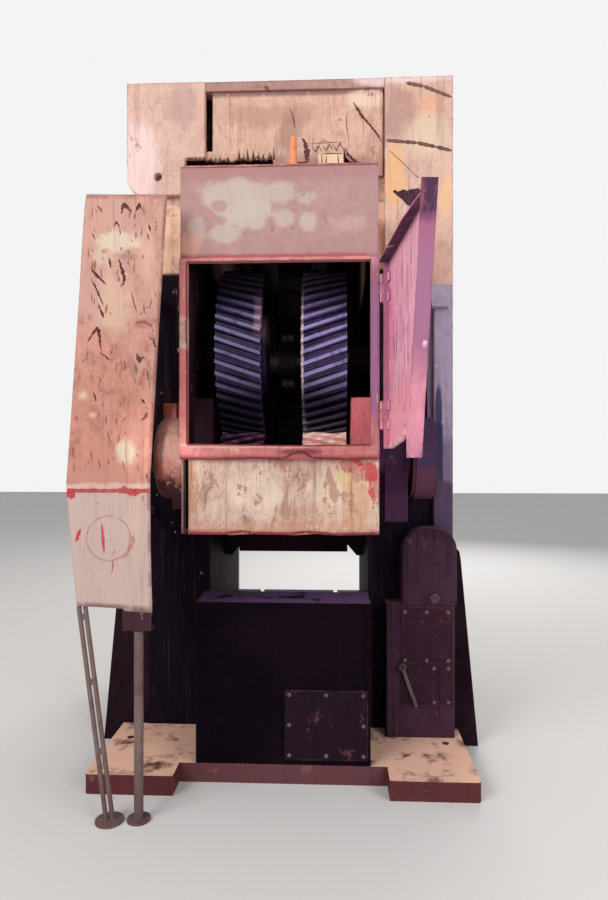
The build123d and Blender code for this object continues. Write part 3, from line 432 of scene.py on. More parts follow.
def patches_at(y: float, half_depth: float, *rows: tuple[float | Colour | bool, ...]) -> tuple[Patch, ...]:
    """Patches in one upright plane, from rows of X, Z, both half sizes, colour and further values."""
    return tuple(Patch((x, y, z), (wide, half_depth, high), *rest) for x, z, wide, high, *rest in rows)


def tone(colour: Colour, share: float) -> Colour:
    """A lighter or darker tone of a colour."""
    return tuple(min(1.0, part * share) for part in colour)


# Finishes


@dataclass(frozen=True)
class FlakingPaint:
    """Old brush paint on steel, flaking to an undercoat and to rust, with run-down streaks.

    Attributes:
        name: Name of the material.
        coat: Main paint colour.
        faded: Second tone of the same paint, in broad clouds.
        undercoat: What shows where the paint has flaked.
        rust: Colour of bare rusted steel.
        streak: Colour of the dirt that has run down.
        flaked: Share of the surface that has flaked, from 0 to 1.
        rusted: Share of the surface that is rusted, from 0 to 1.
        streaked: Strength of the streaks, from 0 to 1.
        roughness: Roughness of sound paint.
        gloss: How much the surface mirrors, from 0 to 1.
        dust: Colour of dust on upward faces, or None.
        mottled: Strength of the blotches in the coat, from 0 to 1.
        marks: Places of other colour, laid on in order.
    """

    name: str
    coat: Colour
    faded: Colour
    undercoat: Colour
    rust: Colour = (0.13, 0.045, 0.03)
    streak: Colour = (0.16, 0.08, 0.06)
    flaked: float = 0.3
    rusted: float = 0.15
    streaked: float = 0.4
    roughness: float = 0.62
    gloss: float = 0.22
    dust: Colour | None = None
    mottled: float = 0.35
    marks: tuple[Mark, ...] = ()

    def coated(self, nodes: SurfaceNodes) -> Socket:
        """The uneven coat with its marks.

        Args:
            nodes: The material's nodes.

        Returns:
            Its colour.
        """
        colour = nodes.blend(nodes.mask(CLOUDS), self.coat, self.faded)
        colour = nodes.lay(colour, tone(self.coat, 0.72), nodes.mask(MOTTLE), 0.45)
        colour = nodes.lay(colour, self.streak, nodes.mask(BLOTCHES), self.mottled)
        pale = nodes.ease(nodes.grain(BLOTCHES), 0.48, 0.36)
        colour = nodes.lay(colour, tone(self.coat, 1.18), pale, self.mottled * 1.2)
        for mark in self.marks:
            colour = nodes.blend(mark.mask(nodes), colour, mark.colour)
        return colour

    def flaking(self, nodes: SurfaceNodes, colour: Socket) -> tuple[Socket, Socket]:
        """Lays the undercoat on, with lifted pale rims round each flake.

        Args:
            nodes: The material's nodes.
            colour: Colour below.

        Returns:
            The colour, and the mask of what has flaked.
        """
        ragged, tall = nodes.grain(RAGGED_WEAR), nodes.grain(TALL_WEAR)
        wear = nodes.math("ADD", nodes.times(ragged, 0.6), nodes.times(tall, 0.4))
        start, rim = 0.66 - 0.22 * self.flaked, 0.012
        flakes = nodes.ease(wear, start, start + rim)
        rims = nodes.math("SUBTRACT", nodes.ease(wear, start - rim, start), flakes)
        colour = nodes.lay(colour, self.undercoat, flakes, 0.85)
        return nodes.lay(colour, tone(self.coat, 1.3), rims, 0.6), flakes

    def rusting(self, nodes: SurfaceNodes, colour: Socket) -> tuple[Socket, Socket]:
        """Lays rust on in spots and along edges.

        Args:
            nodes: The material's nodes.
            colour: Colour below.

        Returns:
            The colour, and the mask of the rust.
        """
        worn_edges = nodes.times(nodes.edges(0.012), nodes.mask(RAGGED_WEAR))
        start = 0.70 - 0.26 * self.rusted
        spots = nodes.ease(nodes.grain(RUST_SPOTS), start, start + 0.05)
        rusty = nodes.math("MAXIMUM", spots, nodes.times(worn_edges, 0.8))
        rust = nodes.blend(nodes.mask(RUST_GRAIN), self.rust, tone(self.rust, 2.2))
        return nodes.lay(colour, rust, rusty, 0.9), rusty

    def soiled(self, nodes: SurfaceNodes, colour: Socket) -> Socket:
        """Lays streaks and dust on.

        Args:
            nodes: The material's nodes.
            colour: Colour below.

        Returns:
            The colour.
        """
        broad = nodes.times(nodes.mask(RUNS), self.streaked)
        fine = nodes.times(nodes.mask(FINE_RUNS), self.streaked * 0.55)
        streaks = nodes.math("MINIMUM", nodes.math("ADD", broad, fine), 0.9)
        colour = nodes.blend(streaks, colour, self.streak)
        if self.dust is None:
            return colour
        upward = nodes.facing(Direction.Z, 0.6, 0.9)
        return nodes.lay(colour, self.dust, nodes.times(upward, nodes.mask(DUST)), 0.85)

    def build(self) -> Material:
        """Makes the material.

        Returns:
            The material.
        """
        nodes = SurfaceNodes(self.name, self.gloss)
        colour, flakes = self.flaking(nodes, self.coated(nodes))
        colour, rusty = self.rusting(nodes, colour)
        colour = self.soiled(nodes, colour)
        gone = nodes.math("MAXIMUM", flakes, rusty)
        pits = nodes.times(nodes.grain(PAINT_PITS), 0.35)
        relief = nodes.math("ADD", nodes.times(gone, -0.6), pits)
        rough = nodes.math("ADD", nodes.times(gone, 0.22), self.roughness)
        return nodes.finish(colour, rough, 0.0, relief, 0.0016)


@dataclass(frozen=True)
class OiledSteel:
    """Machined steel under old oil, worn bright in places and rusted in others, with a painted highlight
    on gear tooth tips.

    Attributes:
        name: Name of the material.
        steel: Colour of the steel.
        oil: Colour of the oil film.
        bright: Colour where the steel is worn bright by rubbing, also the colour of the painted highlight
            on gear tooth tips.
        rust: Colour of the rust bloom.
        rusted: Share of the surface with rust bloom, from 0 to 1.
        axis_at: Y and Z of the axis that a gear turns about, or None for other pieces.
        crest: Distance from that axis where the teeth are worn bright by rubbing and carry a painted
            highlight, in metres.
        metal: How metallic the surface is.
        gloss: How much the oil mirrors, from 0 to 1.
        marks: Places of other colour, laid on over the worn and highlit teeth.
    """

    name: str
    steel: Colour
    oil: Colour
    bright: Colour
    rust: Colour = (0.16, 0.06, 0.045)
    rusted: float = 0.15
    axis_at: Flat | None = None
    crest: float = 0.0
    metal: float = 0.55
    gloss: float = 0.3
    marks: tuple[Mark, ...] = ()

    def rubbed_and_highlit(self, nodes: SurfaceNodes) -> Socket:
        """Where edges are worn bright by rubbing, and where gear tooth tips are worn bright and carry a
        painted highlight.

        Args:
            nodes: The material's nodes.

        Returns:
            The mask.
        """
        rub = nodes.times(nodes.edges(0.006), 0.7)
        if self.axis_at is not None:
            away = nodes.distance((Direction.Y, Direction.Z), self.axis_at)
            # Painted highlight with real wear: gear tooth tips lightened as if lit.
            highlit_tips = nodes.ease(away, self.crest - 0.014, self.crest - 0.004)
            rub = nodes.math("MAXIMUM", rub, nodes.times(highlit_tips, 0.75))
        return nodes.times(rub, nodes.mask(RUBBED_AND_HIGHLIT))

    def build(self) -> Material:
        """Makes the material.

        Returns:
            The material.
        """
        nodes = SurfaceNodes(self.name, self.gloss)
        film = nodes.mask(OIL_FILM)
        colour = nodes.blend(film, self.steel, self.oil)
        colour = nodes.lay(colour, self.bright, nodes.mask(STEEL_SCRATCHES), 0.35)
        colour = nodes.blend(self.rubbed_and_highlit(nodes), colour, self.bright)
        for mark in self.marks:
            colour = nodes.blend(mark.mask(nodes), colour, mark.colour)
        start = 0.68 - 0.26 * self.rusted
        bloom = nodes.ease(nodes.grain(RUST_BLOOM), start, start + 0.09)
        colour = nodes.lay(colour, self.rust, bloom, 0.85)
        relief = nodes.math("ADD", nodes.times(bloom, 0.5), nodes.times(nodes.grain(STEEL_PITS), 0.4))
        dull = nodes.math("ADD", nodes.times(bloom, 0.35), nodes.times(film, -0.12))
        metal = nodes.times(nodes.math("SUBTRACT", 1.0, bloom), self.metal)
        return nodes.finish(colour, nodes.math("ADD", dull, 0.46), metal, relief, 0.0008)


GREY_GREEN = (0.54, 0.46, 0.39)
NEAR_BLACK = (0.006, 0.003, 0.009)
ROSE_WHITE = (0.86, 0.64, 0.61)
SIGNAL_RED = (0.52, 0.05, 0.06)
OCHRE = (0.82, 0.46, 0.22)

# Faces that the finishes' patches and the fittings lie on, as Y in metres

CHEEK_FACE = -0.55
PANEL_FACE = -0.53
CASE_FACE = -1.17
WINDOW_BAR = -1.18
GUARD_FACE = -1.3

FINISHES = {finish.name: finish for finish in (
    FlakingPaint(
        "crown_cream", (0.68, 0.43, 0.345), (0.74, 0.5, 0.41), (0.46, 0.26, 0.2),
        streak=(0.36, 0.19, 0.16), flaked=0.28, rusted=0.04, streaked=0.6, dust=(0.52, 0.34, 0.27),
        marks=(
            # Painted highlight: the near-white sunlit rounded lower corner of the left cheek.
            Patch((-0.81, -0.55, 3.17), (0.1, 0.5, 0.22), ROSE_WHITE, 0.3, 0.9, 0.35),
            Patch((-0.58, -0.55, 3.47), (0.09, 0.3, 0.13), (0.5, 0.3, 0.27), 0.5, 0.6, 0.4),
            Patch((0.6, -0.55, 3.42), (0.08, 0.3, 0.15), (0.45, 0.25, 0.22), 0.5, 0.75, 0.3),
            # Painted highlight along the top edge of the right cheek.
            Patch((0.66, -0.55, 3.6), (0.24, 0.4, 0.03), ROSE_WHITE, 0.3, 0.8, 0.4),
            *patches_at(
                CHEEK_FACE, 0.3,
                (0.755, 3.44, 0.045, 0.06, (0.8, 0.42, 0.22), 0.5, 0.6, 0.5),
                (0.575, 3.06, 0.055, 0.17, OCHRE, 0.35, 0.85, 0.3),
                (0.85, 2.98, 0.045, 0.11, (0.8, 0.5, 0.28), 0.5, 0.8, 0.3),
                (0.75, 3.28, 0.13, 0.1, (0.72, 0.57, 0.42), 0.4, 0.75, 0.4),
            ),
        ),
    ),
    FlakingPaint(
        "cover_cream", (0.68, 0.43, 0.34), (0.74, 0.5, 0.4), (0.46, 0.26, 0.2), streak=(0.34, 0.18, 0.14),
        rusted=0.08, streaked=0.6,
        # Painted shade: the rear covers' inner faces inside the case turned near-black.
        marks=(Patch((0.0, 0.5, 2.3), (0.6, 0.082, 1.4), NEAR_BLACK, 0.0, 0.97, 0.02, True),),
    ),
    FlakingPaint(
        "panel_cream", (0.73, 0.47, 0.36), (0.68, 0.42, 0.33), (0.4, 0.22, 0.17),
        streak=(0.3, 0.15, 0.12), flaked=0.32, rusted=0.05, streaked=0.85,
        marks=(
            # Painted shade on the panel's lower edge, above the gear case's header.
            Band(Direction.Z, 3.0, 3.195, (0.22, 0.1, 0.09), 0.6, 0.03, 0.03),
            # Painted shadow under the top lip.
            Band(Direction.Z, 3.525, 3.56, (0.22, 0.11, 0.11), 0.85, 0.012, 0.004),
            *patches_at(
                PANEL_FACE, 0.3,
                (-0.1, 3.42, 0.24, 0.06, (0.5, 0.28, 0.23), 0.5, 0.75, 0.35),
                (0.0, 3.33, 0.06, 0.1, (0.4, 0.21, 0.17), 0.5, 0.75, 0.35),
                (0.42, 3.5, 0.09, 0.05, (0.84, 0.62, 0.5), 0.4, 0.8, 0.4),
                (0.46, 3.22, 0.05, 0.1, (0.5, 0.27, 0.22), 0.5, 0.7, 0.4),
                (0.24, 3.17, 0.075, 0.036, (0.88, 0.62, 0.42), 0.1, 0.9, 0.1, True),
                # Painted shadow cast by the left cheek's edge onto the panel.
                (-0.441, 3.41, 0.02, 0.155, NEAR_BLACK, 0.06, 0.97, 0.2, True),
            ),
            # Painted shade: the inside of the crown behind the panel turned near-black.
            Patch((0.0, -0.1, 3.2), (0.8, 0.392, 0.36), NEAR_BLACK, 0.0, 0.97, 0.02, True),
        ),
    ),
    FlakingPaint(
        "top_band", (0.39, 0.22, 0.2), (0.5, 0.29, 0.25), (0.24, 0.12, 0.11), flaked=0.35, rusted=0.2,
        dust=(0.5, 0.34, 0.28),
        # Painted highlight along the top edge, over the right part of the band.
        marks=(Patch((0.5, -0.55, 3.6), (0.13, 0.5, 0.04), ROSE_WHITE, 0.4, 0.8, 0.4),),
    ),
    FlakingPaint(
        "header_mauve", (0.43, 0.255, 0.24), (0.5, 0.31, 0.28), (0.34, 0.18, 0.16),
        streak=(0.4, 0.21, 0.19), flaked=0.25, rusted=0.06, dust=(0.46, 0.3, 0.25),
        marks=(
            Band(Direction.Z, 2.44, 2.47, (0.4, 0.09, 0.1), 0.85, 0.006, 0.008),
            Band(Direction.Z, 2.8, 2.9, (0.4, 0.2, 0.2), 0.75, 0.02, 0.015),
            Band(Direction.X, 0.4, 0.45, (0.42, 0.24, 0.26), 0.6, 0.01, 0.01),
            *patches_at(
                CASE_FACE, 0.2,
                (-0.2, 2.72, 0.14, 0.1, GREY_GREEN, 0.6, 0.85, 0.25),
                (-0.14, 2.65, 0.09, 0.06, GREY_GREEN, 0.7, 0.75, 0.3),
                (-0.265, 2.685, 0.035, 0.025, (0.44, 0.25, 0.23), 0.6, 0.8, 0.3),
                (0.015, 2.744, 0.055, 0.045, GREY_GREEN, 0.7, 0.7, 0.35),
                (0.121, 2.715, 0.045, 0.03, GREY_GREEN, 0.7, 0.65, 0.35),
                (0.028, 2.628, 0.04, 0.035, GREY_GREEN, 0.7, 0.65, 0.35),
                (0.13, 2.609, 0.035, 0.04, GREY_GREEN, 0.7, 0.7, 0.35),
                (-0.239, 2.561, 0.07, 0.035, GREY_GREEN, 0.7, 0.65, 0.35),
                (-0.365, 2.594, 0.038, 0.06, GREY_GREEN, 0.7, 0.6, 0.35),
                (0.3, 2.6, 0.1, 0.04, (0.58, 0.42, 0.36), 0.7, 0.5, 0.4),
                (-0.4, 2.52, 0.05, 0.05, (0.66, 0.36, 0.26), 0.6, 0.7, 0.4),
            ),
        ),
    ),
    FlakingPaint(
        "case_paint", (0.42, 0.22, 0.205), (0.5, 0.29, 0.27), (0.3, 0.13, 0.12), rust=(0.05, 0.02, 0.018),
        rusted=0.2, streaked=0.5,
        marks=(
            # Painted shade: the case walls' inner faces turned near-black.
            Patch((0.0, -0.83, 2.0), (0.432, 0.6, 0.8), NEAR_BLACK, 0.0, 0.97, 0.012, True),
            Patch((0.0, -0.83, 1.2), (0.43, 0.6, 0.045), (0.1, 0.02, 0.028), 0.1, 0.9, 0.1, True),
        ),
    ),
    FlakingPaint(
        "window_salmon", (0.66, 0.26, 0.24), (0.6, 0.19, 0.18), (0.72, 0.42, 0.34),
        streak=(0.26, 0.07, 0.07), flaked=0.35, rusted=0.12,
        marks=(
            Band(Direction.Z, 1.54, 1.578, (0.42, 0.1, 0.12), 0.85, 0.006, 0.008),
            *patches_at(
                WINDOW_BAR, 0.2,
                (-0.42, 2.12, 0.05, 0.07, (0.74, 0.58, 0.46), 0.3, 0.9, 0.2),
                (-0.1, 1.622, 0.32, 0.013, (0.84, 0.46, 0.38), 0.4, 0.8, 0.3),
                (0.09, 1.592, 0.1, 0.014, (0.2, 0.04, 0.05), 0.5, 0.85, 0.4),
                (0.425, 2.05, 0.03, 0.36, (0.33, 0.16, 0.36), 0.3, 0.75, 0.4),
            ),
        ),
    ),
    FlakingPaint(
        "apron_cream", (0.66, 0.47, 0.38), (0.6, 0.4, 0.32), (0.44, 0.25, 0.19),
        rust=(0.18, 0.055, 0.035), streak=(0.26, 0.14, 0.09), flaked=0.52, streaked=0.7, mottled=0.8,
        marks=(
            Band(Direction.Z, 1.2, 1.246, (0.13, 0.022, 0.035), 0.9, 0.008, 0.014),
            Band(Direction.X, -0.42, -0.4, (0.34, 0.09, 0.05), 0.7, 0.004, 0.006),
            *patches_at(
                CASE_FACE, 0.2,
                (-0.1, 1.42, 0.16, 0.09, (0.8, 0.66, 0.52), 0.9, 0.7, 0.4),
                (0.24, 1.44, 0.1, 0.08, (0.74, 0.62, 0.46), 0.9, 0.6, 0.4),
                (0.0, 1.25, 0.42, 0.035, (0.56, 0.28, 0.2), 0.6, 0.7, 0.5),
                (0.3, 1.5, 0.06, 0.05, (0.66, 0.46, 0.16), 0.9, 0.6, 0.4),
                (-0.385, 1.44, 0.03, 0.13, (0.54, 0.25, 0.16), 0.7, 0.75, 0.3),
                (0.345, 1.36, 0.055, 0.14, (0.55, 0.28, 0.12), 0.7, 0.55, 0.35),
                (0.104, 1.29, 0.1, 0.05, (0.46, 0.22, 0.16), 0.7, 0.5, 0.4),
                (0.325, 1.535, 0.055, 0.035, SIGNAL_RED, 0.55, 0.9, 0.1),
                (0.395, 1.5, 0.06, 0.05, SIGNAL_RED, 0.6, 0.9, 0.1),
                (0.42, 1.44, 0.028, 0.06, SIGNAL_RED, 0.55, 0.9, 0.1),
            ),
        ),
    ),
    FlakingPaint(
        "door_pink", (0.95, 0.43, 0.58), (0.95, 0.5, 0.62), (0.95, 0.66, 0.7), rust=(0.2, 0.05, 0.08),
        streak=(0.46, 0.14, 0.22), rusted=0.1, streaked=0.7,
        marks=(
            # Painted shade: faces that look along -Y (the free-edge flange) darker, and downward faces
            # (the top flange's underside) near-black.
            Tint(Direction.Y, -1, (0.33, 0.135, 0.25)),
            Tint(Direction.Z, -1, (0.02, 0.008, 0.03), 0.95),
            Patch((0.5, -1.6, 1.72), (0.2, 0.4, 0.16), (0.95, 0.36, 0.44), 0.6, 0.7, 0.6),
            Patch((0.5, -1.3, 2.05), (0.2, 0.06, 0.3), (0.74, 0.22, 0.34), 0.5, 0.6, 0.5),
            # Painted shadow cast by the top flange on the upper end of the free-edge flange.
            Patch((0.5, -1.95, 2.3), (0.2, 0.1, 0.12), (0.4, 0.12, 0.22), 0.5, 0.6, 0.6),
            Patch((0.5, -2.08, 2.41), (0.2, 0.06, 0.11), (0.04, 0.014, 0.05), 0.3, 0.9, 0.3),
        ),
    ),
    OiledSteel(
        "gear_steel_large", (0.085, 0.06, 0.17), (0.008, 0.006, 0.03), (0.48, 0.39, 0.78),
        rust=(0.05, 0.02, 0.035), rusted=0.12, axis_at=(-0.63, 2.08), crest=0.4517, metal=0.35,
        marks=(
            Patch((-0.2, -1.0, 2.08), (0.14, 0.6, 0.6), (0.014, 0.01, 0.03), 0.2, 0.5, 0.3, True),
            *patches_at(
                -1.0, 0.5,
                (0.099, 2.1, 0.006, 0.3, (0.86, 0.66, 0.68), 0.1, 0.8, 0.2, True),
                (-0.105, 2.24, 0.02, 0.09, (0.62, 0.4, 0.46), 0.3, 0.5, 0.4, True),
                # Painted shade on the bull gears below their lit stretch.
                (0.0, 1.66, 1.0, 0.24, NEAR_BLACK, 0.1, 0.88, 0.35, True),
            ),
            # Painted shade on the bull gears above their lit stretch, under the header.
            Patch((0.0, -1.0, 2.52), (1.0, 0.7, 0.25), NEAR_BLACK, 0.1, 0.88, 0.35, True),
        ),
    ),
    # Left pinion: dark steel as painted shade, the shaded copy of the right pinion's finish.
    OiledSteel(
        "gear_steel_dark_with_painted_shade", (0.09, 0.028, 0.075), (0.026, 0.008, 0.026), (0.22, 0.1, 0.18), rusted=0.25,
        axis_at=(-0.8288, 1.56), crest=0.131, gloss=0.15,
    ),
    # Right pinion: lighter tan as painted sunlight, the lit copy of the left pinion's finish.
    OiledSteel(
        "gear_steel_tan_with_painted_sunlight", (0.95, 0.5, 0.42), (0.64, 0.29, 0.26), (0.98, 0.72, 0.6), rust=(0.3, 0.1, 0.07),
        rusted=0.3, axis_at=(-0.8288, 1.56), crest=0.131, metal=0.1,
    ),
    OiledSteel(
        "shaft_steel", (0.2, 0.17, 0.19), (0.06, 0.045, 0.06), (0.42, 0.38, 0.4), rusted=0.3,
    ),
    OiledSteel(
        "link_iron", (0.035, 0.026, 0.036), (0.012, 0.009, 0.016), (0.12, 0.1, 0.12),
        rust=(0.06, 0.02, 0.02), rusted=0.3, metal=0.2, gloss=0.12,
    ),
    # Near-black coat of the main bearings and the left pinion block: painted shade, the shaded copy of the
    # right block's pink.
    FlakingPaint(
        "bearing_maroon_with_painted_shade", (0.02, 0.007, 0.016), (0.03, 0.012, 0.02), (0.07, 0.03, 0.03),
        rust=(0.05, 0.016, 0.014), streak=(0.005, 0.003, 0.005), flaked=0.25, rusted=0.25, streaked=0.3,
        gloss=0.08,
    ),
    # Right pinion block: brighter pink as painted sunlight, the lit copy of the left block's coat.
    FlakingPaint(
        "block_pink_with_painted_sunlight", (0.88, 0.2, 0.24), (0.9, 0.3, 0.3), (0.9, 0.5, 0.42), rusted=0.12, streaked=0.5,
    ),
    FlakingPaint(
        "drum_rust", (0.95, 0.66, 0.54), (0.84, 0.42, 0.34), (0.62, 0.24, 0.17), rust=(0.4, 0.1, 0.08),
        streak=(0.34, 0.075, 0.07), flaked=0.35, rusted=0.25, streaked=0.9, gloss=0.3,
        marks=(
            Band(Direction.Z, 1.38, 1.53, (0.56, 0.11, 0.1), 0.75, 0.04, 0.05),
            # Painted shade on the housing's lower part.
            Band(Direction.Z, 1.25, 1.47, (0.075, 0.012, 0.026), 0.95, 0.03, 0.03),
            Band(Direction.X, -0.62, -0.585, (0.16, 0.03, 0.035), 0.6),
            Patch((-0.55, -0.9, 1.82), (0.1, 0.3, 0.05), (0.8, 0.2, 0.18), 0.4, 0.9, 0.3),
        ),
    ),
    # Near-black coat: dark grimy paint, darkened further as painted shade.
    FlakingPaint(
        "brake_plum_with_painted_shade", (0.042, 0.014, 0.046), (0.072, 0.026, 0.066), (0.13, 0.05, 0.08),
        rust=(0.08, 0.02, 0.025), streak=(0.008, 0.003, 0.008), flaked=0.35, rusted=0.25, gloss=0.1,
    ),
    FlakingPaint(
        "brake_drum_rim", (0.05, 0.021, 0.072), (0.034, 0.014, 0.05), (0.12, 0.055, 0.12),
        rust=(0.14, 0.04, 0.05), streak=(0.05, 0.018, 0.045), flaked=0.35, rusted=0.25, gloss=0.25,
        marks=(Band(Direction.Z, 1.38, 1.5, (0.11, 0.026, 0.048), 0.8, 0.03, 0.03),),
    ),
    # Near-black coat: dark paint, darkened further as painted shade.
    FlakingPaint(
        "slide_black_with_painted_shade", (0.024, 0.006, 0.015), (0.036, 0.01, 0.022), (0.09, 0.03, 0.03),
        rust=(0.06, 0.016, 0.016), streak=(0.01, 0.003, 0.007), flaked=0.25, rusted=0.25, gloss=0.08,
    ),
    FlakingPaint(
        "guard_terracotta", (0.54, 0.245, 0.185), (0.57, 0.31, 0.24), (0.44, 0.2, 0.15),
        rust=(0.14, 0.06, 0.06), streak=(0.34, 0.13, 0.11), flaked=0.34, rusted=0.05, streaked=0.5,
        mottled=0.85,
        marks=(
            Band(Direction.Z, 2.15, 2.8, (0.6, 0.38, 0.31), 0.45, 0.1, 0.1),
            Band(Direction.Z, 1.46, 1.74, (0.52, 0.2, 0.15), 0.4, 0.08, 0.05),
            Band(Direction.Z, 0.8, 1.425, (0.53, 0.4, 0.355), 0.97, 0.004, 0.006),
            Band(Direction.Z, 1.432, 1.458, (0.74, 0.6, 0.55), 0.55, 0.006),
            *patches_at(
                GUARD_FACE, 0.2,
                (-0.69, 2.5, 0.085, 0.05, (0.66, 0.55, 0.43), 0.9, 0.9, 0.25),
                (-0.75, 2.43, 0.04, 0.05, (0.64, 0.52, 0.4), 0.9, 0.7, 0.4),
                (-0.55, 2.45, 0.03, 0.1, (0.7, 0.44, 0.34), 0.6, 0.6, 0.5),
                (-0.7, 2.22, 0.08, 0.13, (0.66, 0.46, 0.34), 0.9, 0.65, 0.5),
                (-0.62, 2.58, 0.05, 0.06, (0.52, 0.29, 0.28), 0.9, 0.6, 0.5),
                (-0.8, 2.25, 0.05, 0.16, (0.54, 0.3, 0.27), 0.9, 0.6, 0.5),
                (-0.7, 1.5, 0.16, 0.05, (0.52, 0.24, 0.19), 0.9, 0.6, 0.5),
                (-0.645, 1.593, 0.033, 0.052, (0.64, 0.56, 0.42), 0.9, 0.85, 0.6),
                (-0.6, 1.3, 0.04, 0.1, (0.62, 0.45, 0.36), 0.9, 0.6, 0.5),
                (-0.83, 1.835, 0.02, 0.022, (0.66, 0.5, 0.34), 0.6, 0.85, 0.7),
                (-0.79, 1.751, 0.018, 0.014, (0.74, 0.44, 0.38), 0.6, 0.75, 0.7),
                # Painted shade: a grey arc of shade on the upper sheet.
                (-0.635, 2.43, 0.034, 0.016, (0.28, 0.2, 0.19), 0.4, 0.75, 0.5),
                (-0.565, 2.14, 0.04, 0.018, (0.42, 0.16, 0.14), 0.6, 0.7, 0.5),
                (-0.61, 1.94, 0.02, 0.035, (0.36, 0.2, 0.17), 0.6, 0.7, 0.5),
            ),
            Ring((-0.72, 1.221), 0.0955, 0.006, (0.42, 0.2, 0.21)),
        ),
    ),
    FlakingPaint(
        "mark_dark", (0.085, 0.03, 0.034), (0.14, 0.055, 0.055), (0.24, 0.11, 0.1), flaked=0.45,
        rusted=0.1, streaked=0.2, gloss=0.05,
    ),
    # Colour of the door's painted shadow on the right cheek.
    FlakingPaint(
        "painted_shadow_plum", (0.03, 0.01, 0.026), (0.07, 0.026, 0.05), (0.2, 0.09, 0.1), flaked=0.2, rusted=0.05,
        streaked=0.2, gloss=0.05,
    ),
    FlakingPaint(
        "mark_magenta", (0.26, 0.06, 0.12), (0.4, 0.12, 0.2), (0.55, 0.24, 0.32), flaked=0.4, rusted=0.05,
        streaked=0.2,
    ),
    FlakingPaint(
        "lip_pale", (0.95, 0.66, 0.64), (0.9, 0.52, 0.54), (0.6, 0.2, 0.26), rusted=0.1, streaked=0.3,
    ),
    FlakingPaint(
        "strip_rose", (0.95, 0.26, 0.36), (0.92, 0.34, 0.42), (0.6, 0.1, 0.18), flaked=0.25, rusted=0.05,
        streaked=0.3,
    ),
    FlakingPaint(
        "mark_brown", (0.24, 0.11, 0.095), (0.3, 0.15, 0.12), (0.4, 0.22, 0.17), flaked=0.4, rusted=0.1,
        streaked=0.2, gloss=0.1,
    ),
    FlakingPaint(
        "mark_rust", (0.36, 0.14, 0.1), (0.44, 0.19, 0.14), (0.52, 0.28, 0.22), flaked=0.4, rusted=0.1,
        streaked=0.2, gloss=0.1,
    ),
    FlakingPaint(
        "mark_red", (0.5, 0.06, 0.07), (0.58, 0.11, 0.1), (0.6, 0.3, 0.26), flaked=0.42, rusted=0.05,
        streaked=0.2, gloss=0.2,
    ),
    FlakingPaint(
        "stand_steel", (0.2, 0.14, 0.13), (0.14, 0.08, 0.08), (0.24, 0.11, 0.09), rust=(0.1, 0.035, 0.03),
        streak=(0.055, 0.022, 0.026), flaked=0.4, rusted=0.35, streaked=0.3,
        marks=(
            Patch((-0.6, -1.27, 0.89), (0.068, 0.1, 0.07), (0.036, 0.01, 0.018), 0.0, 0.95, 0.03, True),
        ),
    ),
    FlakingPaint(
        "duct_grey", (0.39, 0.32, 0.45), (0.44, 0.36, 0.49), (0.5, 0.41, 0.5), streak=(0.16, 0.1, 0.17),
        rusted=0.1, streaked=0.7,
        marks=(
            Band(Direction.Z, 1.0, 1.66, (0.15, 0.1, 0.2), 0.7, 0.06, 0.04),
            Band(Direction.Z, 1.0, 1.43, (0.06, 0.026, 0.076), 0.85, 0.02, 0.03),
            # Painted shadow: the dark wedge that the drum beside it casts on the duct.
            Patch((0.806, -0.5, 1.8), (0.018, 0.5, 0.15), (0.018, 0.018, 0.085), 0.12, 0.92, 0.3),
            Patch((0.799, -0.5, 1.58), (0.03, 0.5, 0.15), (0.018, 0.018, 0.085), 0.08, 0.94, 0.12, True),
        ),
    ),
    # Near-black coat: dark grimy paint, darkened further as painted shade.
    FlakingPaint(
        "cabinet_plum_with_painted_shade", (0.044, 0.016, 0.034), (0.062, 0.026, 0.048), (0.11, 0.05, 0.07),
        rust=(0.08, 0.03, 0.03), streak=(0.012, 0.005, 0.01), rusted=0.2, streaked=0.6, gloss=0.1,
        dust=(0.11, 0.07, 0.08),
    ),
    # Near-black coat: dark grimy paint, darkened further as painted shade.
    FlakingPaint(
        "panel_brown_with_painted_shade", (0.046, 0.016, 0.03), (0.034, 0.011, 0.024), (0.1, 0.04, 0.05),
        rust=(0.08, 0.025, 0.02), streak=(0.01, 0.004, 0.008), flaked=0.35, rusted=0.25, streaked=0.6,
        gloss=0.08,
        # Painted shade: a near-black box in the middle of the bed panel, under the bolster.
        marks=(Patch((0.2, -0.94, 0.28), (0.24, 0.1, 0.22), (0.01, 0.004, 0.009), 0.0, 0.8, 0.02, True),),
    ),
    FlakingPaint(
        "base_mauve", (0.12, 0.028, 0.028), (0.1, 0.028, 0.034), (0.2, 0.08, 0.08),
        streak=(0.07, 0.018, 0.02), flaked=0.35, rusted=0.3, gloss=0.12, dust=(0.98, 0.6, 0.45),
        marks=(Band(Direction.X, -0.48, 0.48, (0.13, 0.055, 0.068), 0.7, 0.02),),
    ),
    # Near-black coat: dark paint, darkened further as painted shade.
    FlakingPaint(
        "bed_dark_with_painted_shade", (0.005, 0.002, 0.006), (0.008, 0.003, 0.008), (0.024, 0.01, 0.017),
        rust=(0.022, 0.007, 0.01), streak=(0.003, 0.001, 0.003), flaked=0.22, rusted=0.22, streaked=0.6,
        gloss=0.03, dust=(0.16, 0.09, 0.2),
    ),
    FlakingPaint(
        "upright_cream", (0.95, 0.6, 0.42), (0.92, 0.56, 0.4), (0.56, 0.32, 0.24),
        rust=(0.05, 0.02, 0.02), streak=(0.1, 0.05, 0.05), flaked=0.12, rusted=0.1, streaked=0.3,
        gloss=0.05,
        marks=(
            # Lower uprights darker: dirt together with painted shade.
            Patch((0.0, 0.03, 0.5), (0.9, 0.7, 0.85), (0.2, 0.11, 0.11), 0.1, 0.75, 0.2, True),
            # Painted shade: near-black inner faces, the space between the uprights, and the front faces
            # below the crown.
